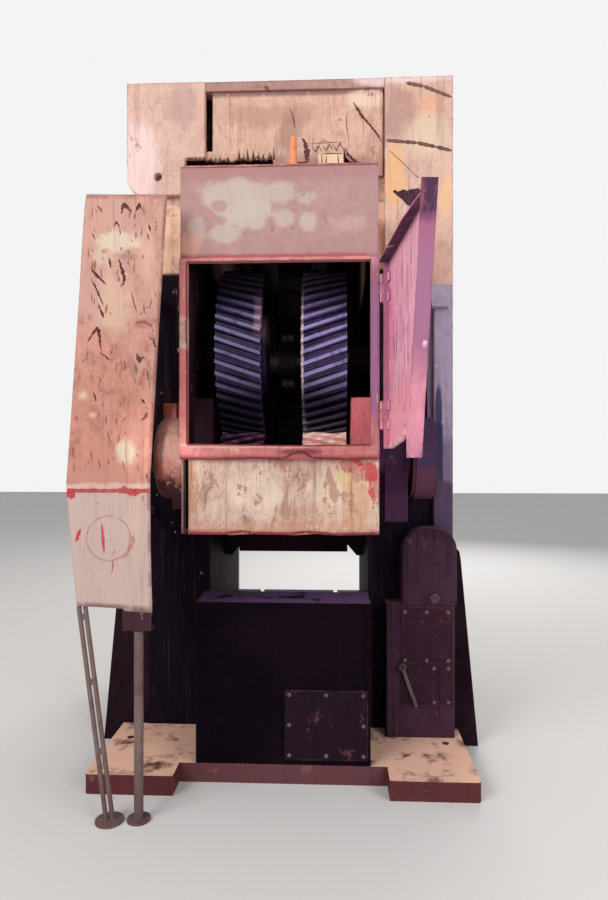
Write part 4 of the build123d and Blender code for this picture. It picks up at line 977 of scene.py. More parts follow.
            Patch((0.0, -0.02, 1.27), (0.772, 0.55, 1.3), NEAR_BLACK, 0.02, 0.97, 0.01, True),
            Patch((0.0, -0.02, 1.27), (0.43, 0.55, 1.8), NEAR_BLACK, 0.0, 0.97, 0.01, True),
            Patch((0.0, -0.51, 1.27), (0.79, 0.012, 1.3), NEAR_BLACK, 0.0, 0.97, 0.01, True),
            # Painted light: a grey-blue strip of haze on the right upright's front face.
            Patch((0.768, -0.51, 2.02), (0.016, 0.012, 0.4), (0.3, 0.23, 0.34), 0.0, 0.95, 0.02, True),
        ),
    ),
    # Near-black coat: dark paint, darkened further as painted shade.
    FlakingPaint(
        "gusset_dark_with_painted_shade", (0.014, 0.006, 0.011), (0.026, 0.012, 0.018), (0.09, 0.045, 0.045),
        rust=(0.04, 0.014, 0.014), streak=(0.01, 0.004, 0.006), flaked=0.2, rusted=0.2, streaked=0.3,
        gloss=0.02, roughness=0.85,
    ),
    FlakingPaint(
        "seam_dark", (0.24, 0.13, 0.12), (0.16, 0.08, 0.08), (0.1, 0.05, 0.05), rusted=0.3, streaked=0.2,
        gloss=0.1,
    ),
    FlakingPaint(
        "sealant_red", (0.3, 0.03, 0.045), (0.17, 0.02, 0.035), (0.44, 0.1, 0.1),
        streak=(0.05, 0.01, 0.02), rusted=0.1, streaked=0.3, gloss=0.3,
    ),
    FlakingPaint(
        "latch_bone", (0.7, 0.52, 0.42), (0.62, 0.38, 0.32), (0.3, 0.1, 0.08), streaked=0.3,
    ),
    FlakingPaint(
        "pipe_orange", (0.92, 0.36, 0.17), (0.9, 0.3, 0.13), (0.5, 0.15, 0.08), flaked=0.25, rusted=0.06,
        streaked=0.35,
    ),
    OiledSteel(
        "fastener_steel", (0.13, 0.09, 0.1), (0.06, 0.035, 0.045), (0.3, 0.24, 0.25), rusted=0.5,
        metal=0.35,
    ),
)}

NODES_BY_FINISH: dict[str, tuple[str, ...]] = {
    "base_mauve": ("base_plate", "foot_plates"),
    "upright_cream": ("uprights",),
    "panel_cream": ("crown_beam", "crown_front_panel"),
    "top_band": ("crown_top_plate",),
    "crown_cream": ("left_cheek_plate", "right_cheek_plate"),
    "shaft_steel": (
        "tie_rods", "ejector_rod", "crank_pins", "stub_shafts", "pinion_shaft", "knee_pin", "slide_pin",
        "crown_pin",
    ),
    "fastener_steel": (
        "tie_rod_nuts", "cover_screws", "housing_screws", "rod_bolts", "hinge_pins", "valve_knob",
        "pump_lever",
    ),
    "gusset_dark_with_painted_shade": ("foot_gussets",),
    "cover_cream": ("rear_covers",),
    "bed_dark_with_painted_shade": ("bed", "front_housing"),
    "panel_brown_with_painted_shade": ("cover_panels",),
    "link_iron": (
        "ejector_cylinder", "connecting_rod", "rod_cap", "upper_link", "lower_link", "crown_bracket",
        "slide_gibs",
    ),
    "case_paint": ("case_walls",),
    "header_mauve": ("case_header",),
    "window_salmon": ("window_frame", "hinge_brackets"),
    "apron_cream": ("apron_panel",),
    "pipe_orange": ("oil_pipe",),
    "gear_steel_large": ("bull_gear_left", "bull_gear_right"),
    "bearing_maroon_with_painted_shade": ("main_bearings", "pinion_block_left"),
    "gear_steel_dark_with_painted_shade": ("pinion_left",),
    "gear_steel_tan_with_painted_sunlight": ("pinion_right",),
    "block_pink_with_painted_sunlight": ("pinion_block_right",),
    "drum_rust": ("left_bearing_housing",),
    "brake_plum_with_painted_shade": ("right_bearing_bracket",),
    "brake_drum_rim": ("brake_drum", "brake_band"),
    "slide_black_with_painted_shade": ("slide",),
    "door_pink": ("inspection_door",),
    "guard_terracotta": ("sheet_guard",),
    "stand_steel": ("guard_stand",),
    "duct_grey": ("cable_duct", "junction_box"),
    "cabinet_plum_with_painted_shade": ("lubricator_cabinet", "pump_cover"),
}


# Meshes


def add_object(name: str, data: bpy.types.ID) -> Piece:
    """Puts a new object into the scene.

    Args:
        name: Name of the object.
        data: Its mesh, light or camera.

    Returns:
        The object.
    """
    made = bpy.data.objects.new(name, data)
    bpy.context.scene.collection.objects.link(made)
    return made


def mesh_data(name: str, mesh: Mesh) -> bpy.types.Mesh:
    """The data of an object from its bmesh, which is freed.

    Args:
        name: Name of the data.
        mesh: The mesh.

    Returns:
        The data.
    """
    data = bpy.data.meshes.new(name)
    mesh.to_mesh(data)
    mesh.free()
    return data


def at_height(outline: Course, z: float) -> float:
    """X of an outline, given as (X, Z) points that rise in Z, at one height.

    Args:
        outline: The points, in metres.
        z: Height, in metres.

    Returns:
        X at that height.
    """
    for (x_low, z_low), (x_high, z_high) in zip(outline, outline[1:]):
        if z <= z_high:
            return x_low + (x_high - x_low) * (z - z_low) / (z_high - z_low)
    return outline[-1][0]


def add_grid(mesh: Mesh, rows: list[list[Point]]) -> None:
    """Adds a sheet of faces through rows of points.

    Args:
        mesh: Mesh to add to.
        rows: Rows of points, all of one length.
    """
    lines = [[mesh.verts.new(point) for point in row] for row in rows]
    for lower, upper in zip(lines, lines[1:]):
        for left in range(len(lower) - 1):
            mesh.faces.new((lower[left], lower[left + 1], upper[left + 1], upper[left]))


@dataclass(frozen=True)
class Bead:
    """A rippled weld bead, or a squeezed line of sealant.

    Attributes:
        width: Greatest width, in metres.
        height: How far it stands out, in metres.
        ripple: Distance between ripples, in metres.
        sides: Number of faces across it.
        trough: Size between two ripples, as a share.
        end: Size of its ends, as a share.
        uneven: Limits of each ripple's own size, as shares.
    """

    width: float
    height: float
    ripple: float = 0.011
    sides: int = 6
    trough: float = 0.78
    end: float = 0.4
    uneven: Flat = (0.85, 1.15)

    def lay(self, mesh: Mesh, path: list[Point], normal: Point, seed: int) -> None:
        """Lays the bead along a path.

        Args:
            mesh: Mesh to add to.
            path: Corners of the path, in metres.
            normal: Direction in which the bead stands out.
            seed: Seed of its unevenness.
        """
        chance = random.Random(seed)
        out = Vector(normal).normalized()
        rows: list[list[Point]] = []
        for start, end in zip(path, path[1:]):
            first, last = Vector(start), Vector(end)
            side = (last - first).normalized().cross(out).normalized()
            steps = max(2, int((last - first).length / self.ripple) * 2)
            for step in range(steps + 1):
                here = first.lerp(last, step / steps)
                swell = (1.0 if step % 2 else self.trough) * chance.uniform(*self.uneven)
                if step in (0, steps):
                    swell *= self.end
                half, rise = self.width / 2 * swell, self.height * swell
                angles = [math.pi * turn / self.sides for turn in range(self.sides + 1)]
                rows.append([
                    tuple(here + side * (half * math.cos(angle)) + out * (rise * math.sin(angle)))
                    for angle in angles
                ])
        add_grid(mesh, rows)


@dataclass(frozen=True)
class Screw:
    """A screw head on a washer.

    Attributes:
        radius: Radius of the head, in metres.
        head: Shape of the head.
        washer: Radius and height of the washer's rims, as shares of the head's radius.
        washer_sides: Number of the washer's sides.
        seat: Where the head starts, as a share of its radius.
        dome: Height of the head over its straight sides, as a share of them.
    """

    radius: float
    head: Head = Head.ROUND
    washer: Course = ((1.45, 0.0), (1.45, 0.16), (1.38, 0.22))
    washer_sides: int = 20
    seat: float = 0.2
    dome: float = 1.22

    def drive(self, mesh: Mesh, place: Point, normal: Point, turn: float = 0.0) -> None:
        """Drives the screw in at a place.

        Args:
            mesh: Mesh to add to.
            place: Point on the surface below the head.
            normal: Direction in which the head stands out.
            turn: Rotation of the head about its axis, in degrees.
        """
        upright = Vector(normal).normalized().to_track_quat("Z", "Y").to_matrix().to_4x4()
        base = Matrix.Translation(place) @ upright
        high, top = (0.9, 0.86) if self.head is Head.HEXAGON else (0.5, 0.55)
        thick = self.radius * high
        washer = [(share, self.radius * height) for share, height in self.washer]
        head = [(1.0, self.radius * self.seat), (1.0, thick), (top, thick * self.dome)]
        for sides, levels in ((self.washer_sides, washer), (self.head.value, head)):
            angles = [2 * math.pi * side / sides + math.radians(turn) for side in range(sides)]
            loops = []
            for share, height in levels:
                reach = self.radius * share
                rim = [(reach * math.cos(angle), reach * math.sin(angle), height) for angle in angles]
                loops.append([mesh.verts.new(base @ Vector(point)) for point in rim])
            for lower, upper in zip(loops, loops[1:]):
                for side in range(sides):
                    after = (side + 1) % sides
                    mesh.faces.new((lower[side], lower[after], upper[after], upper[side]))
            mesh.faces.new(loops[-1])
            mesh.faces.new(list(reversed(loops[0])))


def add_mark(mesh: Mesh, path: Course, width: float, face: Face, seed: int, rise: float = 0.0014) -> None:
    """Adds a ragged mark, widest in its middle, on a face that looks forward.

    Args:
        mesh: Mesh to add to.
        path: Corners of the mark as (X, Z) points, in metres.
        width: Greatest width, in metres.
        face: Gives Y of the face at X and Z.
        seed: Seed of its raggedness.
        rise: How far its middle stands out, in metres.
    """
    spacing, rim = 0.005, 0.0002
    chance = random.Random(seed)
    points: list[Vector] = []
    for start, end in zip(path, path[1:]):
        first, last = Vector(start), Vector(end)
        steps = max(2, int((last - first).length / spacing))
        points += [first.lerp(last, step / steps) for step in range(steps)]
    points.append(Vector(path[-1]))
    rows: list[list[Point]] = []
    for index, point in enumerate(points):
        before, after = points[max(0, index - 1)], points[min(len(points) - 1, index + 1)]
        along = (after - before).normalized()
        share = index / (len(points) - 1)
        half = width / 2 * (0.2 + 0.8 * math.sin(math.pi * share)) * chance.uniform(0.55, 1.35)
        sway = chance.uniform(-0.12, 0.12) * width
        row = []
        for across, out in ((-1.0, rim), (-0.4, rise), (0.4, rise), (1.0, rim)):
            x = point.x + along.y * (half * across + sway)
            z = point.y - along.x * (half * across + sway)
            row.append((x, face(x, z) - out, z))
        rows.append(row)
    add_grid(mesh, rows)


def marks_on(face: Face, marks: Marks, seed: int) -> Mesh:
    """A mesh with one ragged mark after another.

    Args:
        face: Gives Y of the face at X and Z.
        marks: Width and course of each mark.
        seed: Seed of the first mark; each further one takes the next.

    Returns:
        The mesh.
    """
    mesh = bmesh.new()
    for number, (width, path) in enumerate(marks):
        add_mark(mesh, path, width, face, seed + number)
    return mesh


# Sub-assemblies


@dataclass
class PaintShop:
    """Makes each finish once and gives it to the pieces.

    Attributes:
        made: Materials by the name of their finish.
    """

    made: dict[str, Material] = field(default_factory=dict)

    def dress(self, piece: Piece, name: str) -> None:
        """Gives a piece one finish all over.

        Args:
            piece: The piece.
            name: Name of the finish.
        """
        if name not in self.made:
            self.made[name] = FINISHES[name].build()
        piece.data.materials.clear()
        piece.data.materials.append(self.made[name])

    def dress_frame(self) -> None:
        """Gives every CAD node its finish."""
        finish_of = {node: finish for finish, nodes in NODES_BY_FINISH.items() for node in nodes}
        for node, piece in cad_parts.items():
            self.dress(piece, finish_of[node])

    def fit(self, name: str, mesh: Mesh, finish: str, body: str = "frame") -> Piece:
        """Makes a piece of the press from its mesh and dresses it.

        Args:
            name: Name of the piece.
            mesh: The mesh, which is freed.
            finish: Name of its finish.
            body: CAD body that it rides on.

        Returns:
            The piece.
        """
        bmesh.ops.recalc_face_normals(mesh, faces=mesh.faces)
        piece = add_object(name, mesh_data(name, mesh))
        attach(piece, body)
        self.dress(piece, finish)
        return piece


@dataclass
class Guard:
    """The tall sheet guard: dented front with its left side folded back, seam and scratches.

    Attributes:
        front: Y of the middle of its front sheet, in metres.
        depth: How far its side reaches back, in metres.
        fold: Radius of the fold between front and side, in metres.
        lip: How far its top lip reaches back, in metres.
        left: Left edge, as (X, Z) points from the bottom up.
        right: Right edge, as (X, Z) points from the bottom up.
        step_at: X of the small step in its lower edge.
        step_drop: How far the lower edge drops there, in metres.
        dent: Depth of its broad dents, in metres.
        ripple: Depth of its small dents, in metres.
        seam_height: Height of the lap seam, in metres.
        seam_section: Rise from the seam's middle and Y from the face of each line along the strip.
        rivets: Number of rivets in the seam.
        rivet: One rivet.
        sheet: Thickness of the sheet, in metres.
        dark_marks: Deep scratches with their width, as (X, Z) points.
        brown_marks: Shallow rusty scratches with their width.
        red_marks: Splashes and a painted stroke in red, with their width.
        fleck_count: Number of short scuffs.
    """

    front: float = -1.2975
    depth: float = 0.476
    fold: float = 0.012
    lip: float = 0.040
    left: Course = (
        (-0.860, 0.930), (-0.882, 1.149), (-0.904, 1.407), (-0.907, 1.450), (-0.896, 1.600),
        (-0.863, 2.075), (-0.848, 2.299), (-0.837, 2.496), (-0.826, 2.650), (-0.819, 2.697),
    )
    right: Course = (
        (-0.531, 0.915), (-0.538, 1.173), (-0.540, 1.472), (-0.505, 2.073), (-0.466, 2.690),
    )
    step_at: float = -0.652
    step_drop: float = 0.010
    dent: float = 0.005
    ripple: float = 0.0012
    seam_height: float = 1.427
    seam_section: Course = ((-0.008, 0.0), (-0.0075, -0.0035), (0.006, -0.003), (0.0065, 0.0))
    rivets: int = 8
    rivet: Screw = Screw(0.0038)
    sheet: float = 0.004
    dark_marks: Marks = (
        (0.017, ((-0.664, 2.612), (-0.656, 2.655), (-0.640, 2.640), (-0.622, 2.618))),
        (0.013, ((-0.604, 2.618), (-0.587, 2.650), (-0.574, 2.625))),
        (0.007, ((-0.695, 2.560), (-0.686, 2.577), (-0.671, 2.550))),
        (0.008, ((-0.545, 2.565), (-0.538, 2.531))),
        (0.005, ((-0.791, 2.530), (-0.777, 2.500))),
        (0.010, ((-0.717, 2.425), (-0.711, 2.379))),
        (0.017, ((-0.675, 2.418), (-0.664, 2.380), (-0.653, 2.341), (-0.653, 2.315), (-0.669, 2.300))),
        (0.012, ((-0.797, 2.382), (-0.784, 2.362), (-0.759, 2.337), (-0.731, 2.309))),
        (0.009, ((-0.795, 2.334), (-0.775, 2.294), (-0.753, 2.246), (-0.742, 2.220))),
        (0.010, ((-0.758, 2.205), (-0.750, 2.189), (-0.739, 2.165))),
        (0.014, ((-0.812, 2.062), (-0.793, 2.093), (-0.768, 2.126), (-0.759, 2.084), (-0.753, 2.032))),
        (0.005, ((-0.622, 2.279), (-0.613, 2.240), (-0.598, 2.188))),
        (0.011, ((-0.527, 2.068), (-0.514, 2.037))),
        (0.008, ((-0.749, 2.012), (-0.730, 2.000), (-0.717, 1.982))),
        (0.020, ((-0.597, 2.013), (-0.585, 1.980), (-0.565, 1.997))),
        (0.005, ((-0.553, 1.945), (-0.547, 1.893))),
        (0.007, ((-0.785, 1.850), (-0.774, 1.806))),
        (0.009, ((-0.577, 1.818), (-0.561, 1.796))),
        (0.013, ((-0.577, 1.731), (-0.562, 1.738), (-0.551, 1.762))),
        (0.004, ((-0.733, 1.751), (-0.729, 1.712))),
        (0.006, ((-0.560, 1.500), (-0.548, 1.475))),
    )
    brown_marks: Marks = (
        (0.012, ((-0.770, 2.646), (-0.758, 2.636), (-0.748, 2.618))),
        (0.006, ((-0.554, 2.531), (-0.544, 2.494))),
        (0.008, ((-0.765, 2.225), (-0.757, 2.200))),
        (0.007, ((-0.567, 2.220), (-0.565, 2.180))),
        (0.014, ((-0.604, 2.143), (-0.570, 2.150), (-0.548, 2.142), (-0.530, 2.124))),
        (0.010, ((-0.545, 2.085), (-0.530, 2.072), (-0.516, 2.076))),
        (0.014, ((-0.605, 1.965), (-0.598, 1.925))),
        (0.005, ((-0.880, 1.620), (-0.868, 1.560))),
        (0.005, ((-0.800, 1.600), (-0.792, 1.555))),
        (0.005, ((-0.762, 1.560), (-0.757, 1.520))),
        (0.006, ((-0.597, 1.540), (-0.584, 1.500))),
        (0.004, ((-0.700, 1.130), (-0.706, 1.070))),
    )
    red_marks: Marks = (
        (0.042, ((-0.902, 1.418), (-0.885, 1.406), (-0.868, 1.418))),
        (0.032, ((-0.692, 1.424), (-0.655, 1.430), (-0.615, 1.420), (-0.565, 1.424))),
        (0.014, ((-0.600, 1.422), (-0.558, 1.426))),
        (0.013, ((-0.749, 1.284), (-0.745, 1.220), (-0.739, 1.158))),
        (0.017, ((-0.843, 1.261), (-0.852, 1.232), (-0.861, 1.205))),
    )
    fleck_count: int = 80

    def dented(self, x: float, y: float, z: float) -> float:
        """How far the sheet is pushed in at a point.

        Args:
            x: X, in metres.
            y: Y, in metres.
            z: Z, in metres.

        Returns:
            The push, in metres.
        """
        broad = noise.noise(Vector((x * 4.0, y * 4.0, z * 3.0)))
        small = noise.noise(Vector((x * 16.0 + 7.0, y * 16.0, z * 12.0)))
        return self.dent * (0.5 + 0.5 * broad) + self.ripple * small

    def surface(self, x: float, z: float) -> float:
        """Y of the middle of the front sheet.

        Args:
            x: X, in metres.
            z: Z, in metres.

        Returns:
            Y at that place.
        """
        left, right = at_height(self.left, z), at_height(self.right, z)
        part = (right - x) / (right - left)
        return self.front + self.dented(x, 0.0, z) * math.sin(math.pi * min(1.0, max(0.0, part)))

    def face(self, x: float, z: float) -> float:
        """Y of the front sheet's outer face."""
        return self.surface(x, z) - self.sheet / 2

    def skin(self) -> Mesh:
        """The folded sheet as one surface.

        Returns:
            The mesh.
        """
        mesh = bmesh.new()
        rows: list[list[Point]] = []
        across, corner, back, heights, fold = 22, 4, 12, 80, self.fold
        for level in range(heights + 1):
            share = level / heights
            z_right = self.right[0][1] + (self.right[-1][1] - self.right[0][1]) * share
            z_left = self.left[0][1] + (self.left[-1][1] - self.left[0][1]) * share
            x_right, x_left = at_height(self.right, z_right), at_height(self.left, z_left)
            row: list[Point] = []
            for step in range(across + 1):
                part = step / across
                x = x_right + (x_left + fold - x_right) * part
                z = z_right + (z_left - z_right) * part
                if level == 0 and x > self.step_at:
                    z -= self.step_drop
                row.append((x, self.surface(x, z), z))
            for step in range(1, corner):
                angle = math.pi / 2 * step / corner
                x, y = x_left + fold - fold * math.sin(angle), self.front + fold - fold * math.cos(angle)
                row.append((x, y, z_left))
            for step in range(back + 1):
                y = self.front + fold + (self.depth - fold) * step / back
                push = self.dented(0.0, y, z_left) * math.sin(math.pi * step / back)
                row.append((x_left + push, y, z_left))
            rows.append(row)
        add_grid(mesh, rows)
        add_grid(mesh, self.top_lip(across))
        return mesh

    def top_lip(self, across: int) -> list[list[Point]]:
        """Rows of the lip that is folded back along the top.

        Args:
            across: Number of faces across the front.

        Returns:
            The rows.
        """
        (x_left, z_left), (x_right, z_right) = self.left[-1], self.right[-1]
        inset, below = 0.004, 0.002
        rows = []
        for depth in (0.0, 0.5, 1.0):
            row = []
            for column in range(across + 1):
                part = column / across
                x = x_left + inset + (x_right - x_left - inset) * part
                row.append((x, self.front + self.lip * depth, z_left + (z_right - z_left) * part - below))
            rows.append(row)
        return rows

    def seam(self) -> Mesh:
        """The lap strip across the front, with its rivets.

        Returns:
            The mesh.
        """
        mesh = bmesh.new()
        inset, columns = 0.006, 30
        left = at_height(self.left, self.seam_height) + inset
        right = at_height(self.right, self.seam_height)
        rows = []
        for rise, out in self.seam_section:
            row = []
            for step in range(columns + 1):
                x = left + (right - left) * step / columns
                sway = 0.0022 * noise.noise(Vector((x * 14.0, rise * 40, 4.0)))
                z = self.seam_height + rise + sway
                row.append((x, self.face(x, z) + out, z))
            rows.append(row)
        add_grid(mesh, rows)
        crest = -self.seam_section[2][1]
        for step in range(self.rivets):
            x = left + (right - left) * (step + 0.5) / self.rivets
            place = (x, self.face(x, self.seam_height) - crest, self.seam_height)
            self.rivet.drive(mesh, place, (0, -1, 0))
        return mesh

    def flecks(self) -> Mesh:
        """Short brown scuffs strewn over the upper sheet.

        Returns:
            The mesh.
        """
        mesh = bmesh.new()
        chance = random.Random(23)
        low, high, side = self.seam_height + 0.05, self.left[-1][1] - 0.03, 0.02
        for number in range(self.fleck_count):
            z = chance.uniform(low, high)
            x = chance.uniform(at_height(self.left, z) + side, at_height(self.right, z) - side)
            length = chance.choice((0.012, 0.018, 0.028, 0.045))
            path = ((x, z), (x + chance.uniform(-0.010, 0.010), z - length))
            add_mark(mesh, path, chance.uniform(0.004, 0.010), self.face, 120 + number, 0.001)
        return mesh

    def build(self, shop: PaintShop) -> None:
        """Makes the guard's pieces.

        Args:
            shop: Where the finishes come from.
        """
        sheet = shop.fit("guard_sheet_dented", self.skin(), "guard_terracotta")
        for face in sheet.data.polygons:
            face.use_smooth = True
        thick = sheet.modifiers.new("thickness", "SOLIDIFY")
        thick.thickness = self.sheet
        thick.offset = 0.0
        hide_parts("sheet_guard")
        shop.fit("guard_lap_seam", self.seam(), "mark_red")
        shop.fit("guard_flecks", self.flecks(), "mark_rust")
        kinds = {"dark": self.dark_marks, "brown": self.brown_marks, "red": self.red_marks}
        for kind, marks in kinds.items():
            mesh = marks_on(self.face, marks, seed=50)
            shop.fit(f"guard_marks_{kind}", mesh, f"mark_{kind}")


@dataclass
class Crown:
    """Weld seams, crack lines, painted shadows, dark points and the torn edge of the crown's front.

    Attributes:
        panel_front: Y of the recessed panel's face, in metres.
        cheek_front: Y of the cheeks' face, in metres.
        tear: Height of the upper edge of the torn slot, in metres.
        tear_ends: X of both ends of the torn edge, in metres.
        cheek_ends: X where the left cheek ends and the panel starts, in metres.
        seams: Bead and course in (X, Z) of each seam on the right cheek.
        spikes: X and top height of the dark points above the slot.
        door_shadow_corners: Left, right and lowest corner of the door's painted shadow, as (X, Z).
        panel_marks: Cracks in the panel, and the painted shadow of the oil pipe, with their width, as (X,
            Z) points.
        brown_marks: Scribbled rusty marks beside the oil pipe.
    """

    panel_front: float = PANEL_FACE
    cheek_front: float = CHEEK_FACE
    tear: float = 3.186
    tear_ends: Flat = (-0.560, -0.070)
    cheek_ends: float = -0.455
    seams: tuple[tuple[Bead, Course], ...] = (
        (Bead(0.022, 0.006, 0.03), ((0.528, 3.262), (0.692, 3.245), (0.790, 3.222), (0.876, 3.199))),
        (Bead(0.020, 0.006, 0.03), ((0.634, 3.567), (0.727, 3.547), (0.876, 3.485))),
        (Bead(0.005, 0.0015, 0.03), ((0.542, 3.209), (0.703, 3.054))),
    )
    spikes: Course = (
        (-0.424, 3.199), (-0.398, 3.196), (-0.376, 3.204), (-0.330, 3.200), (-0.269, 3.244),
        (-0.243, 3.212), (-0.221, 3.243), (-0.191, 3.242), (-0.162, 3.226), (-0.138, 3.214),
        (-0.102, 3.221), (-0.079, 3.246),
    )
    # Corners of the painted shadow that the door casts on the right cheek.
    door_shadow_corners: Course = ((0.563, 2.986), (0.760, 2.996), (0.657, 2.892))
    panel_marks: Marks = (
        (0.018, ((0.352, 3.480), (0.363, 3.462), (0.398, 3.405), (0.430, 3.368))),
        (0.012, ((0.410, 3.392), (0.456, 3.336), (0.484, 3.300), (0.506, 3.262))),
        (0.010, ((0.428, 3.385), (0.425, 3.368), (0.452, 3.352))),
        # Painted shadow of the oil pipe, to its right on the panel.
        (0.030, ((0.074, 3.294), (0.090, 3.270), (0.100, 3.220), (0.098, 3.140))),
        (0.016, ((0.045, 3.160), (0.075, 3.156), (0.110, 3.165))),
        (0.018, ((0.310, 3.235), (0.318, 3.205), (0.350, 3.170), (0.368, 3.156), (0.404, 3.149))),
        (0.006, ((0.180, 3.200), (0.182, 3.136))),
        (0.006, ((0.205, 3.198), (0.203, 3.136))),
        (0.008, ((0.268, 3.200), (0.272, 3.138))),
        (0.008, ((0.300, 3.203), (0.303, 3.136))),
        (0.006, ((0.168, 3.202), (0.230, 3.206), (0.300, 3.203))),
    )
    brown_marks: Marks = (
        (0.011, ((0.006, 3.455), (0.020, 3.425), (0.030, 3.390), (0.036, 3.345))),
        (0.006, ((0.322, 3.433), (0.313, 3.390), (0.316, 3.351), (0.327, 3.269))),
        (0.010, ((0.128, 3.245), (0.150, 3.215), (0.160, 3.250), (0.185, 3.215))),
        (0.008, ((0.185, 3.252), (0.205, 3.222), (0.222, 3.256), (0.240, 3.226))),
        (0.009, ((0.240, 3.258), (0.262, 3.220), (0.280, 3.262), (0.298, 3.228))),
        (0.005, ((0.120, 3.262), (0.300, 3.268))),
    )

    def weld_seams(self) -> Mesh:
        """Dark weld seams on the right cheek.

        Returns:
            The mesh.
        """
        mesh = bmesh.new()
        for number, (bead, course) in enumerate(self.seams):
            bead.lay(mesh, [(x, self.cheek_front, z) for x, z in course], (0, -1, 0), seed=3 + 2 * number)
        return mesh

    def cracks_and_shadow(self) -> Mesh:
        """Dark crack lines and the oil pipe's painted shadow in the panel, and the dark points rising from
        the slot.

        Returns:
            The mesh.
        """
        mesh = marks_on(lambda x, z: self.panel_front, self.panel_marks, seed=11)
        chance = random.Random(21)
        rise, low = 0.0008, self.tear - 0.008
        for x, top in self.spikes:
            half, lean = chance.uniform(0.006, 0.011), chance.uniform(-0.004, 0.004)
            rows = []
            for share in (0.0, 0.35, 0.7, 1.0):
                z = low + (top - low) * share
                wide = half * (1.0 - share) ** 1.3 + 0.0006
                middle = x + lean * share
                y = self.panel_front - rise
                rows.append([(middle - wide, y, z), (middle, y - rise, z), (middle + wide, y, z)])
            add_grid(mesh, rows)
        return mesh

    def door_shadow(self) -> Mesh:
        """The door's dark three-cornered painted shadow on the right cheek, behind the door's tip.

        Returns:
            The mesh.
        """
        mesh = bmesh.new()
        chance = random.Random(27)
        (left, left_z), (right, right_z), (tip, tip_z) = self.door_shadow_corners
        columns, y = 16, self.cheek_front - 0.0006
        top, middle, low = [], [], []
        for column in range(columns + 1):
            share = column / columns
            x = left + (right - left) * share
            edge = left_z + (right_z - left_z) * share
            reach = 1.0 - abs(x - tip) / (tip - left if x < tip else right - tip)
            top.append((x, y, edge + chance.uniform(-0.003, 0.009)))
            middle.append((x, y - 0.0008, edge + (tip_z - edge) * reach * 0.5))
            low.append((x, y, edge + (tip_z - edge) * reach * chance.uniform(0.86, 1.0) - 0.002))
        add_grid(mesh, [top, middle, low])
        return mesh

    def rags(self) -> Mesh:
        """Shreds of torn sheet that hang into the slot.

        Returns:
            The mesh.
        """
        mesh = bmesh.new()
        chance = random.Random(23)
        x, end = self.tear_ends
        root = 0.004
        while x < end:
            face = self.cheek_front if x < self.cheek_ends else self.panel_front
            width, drop = chance.uniform(0.006, 0.020), chance.uniform(0.004, 0.018)
            rows = []
            for share in (0.0, 0.5, 1.0):
                wide = width / 2 * (1.0 - 0.85 * share)
                y = face + 0.001 + 0.004 * share
                z = self.tear + root - (drop + root) * share
                rows.append([(x - wide, y, z), (x, y - 0.001, z), (x + wide, y, z)])
            add_grid(mesh, rows)
            x += width + chance.uniform(0.004, 0.030)
        return mesh

    def build(self, shop: PaintShop) -> None:
        """Makes the crown's pieces.

        Args:
            shop: Where the finishes come from.
        """
        scribbles = marks_on(lambda x, z: self.panel_front, self.brown_marks, seed=31)
        shop.fit("crown_weld_seams", self.weld_seams(), "seam_dark")
        shop.fit("crown_cracks_and_shadow", self.cracks_and_shadow(), "mark_dark")
        shop.fit("crown_painted_door_shadow", self.door_shadow(), "painted_shadow_plum")
        shop.fit("crown_scribbles", scribbles, "mark_brown")
        shop.fit("crown_rags", self.rags(), "panel_cream")


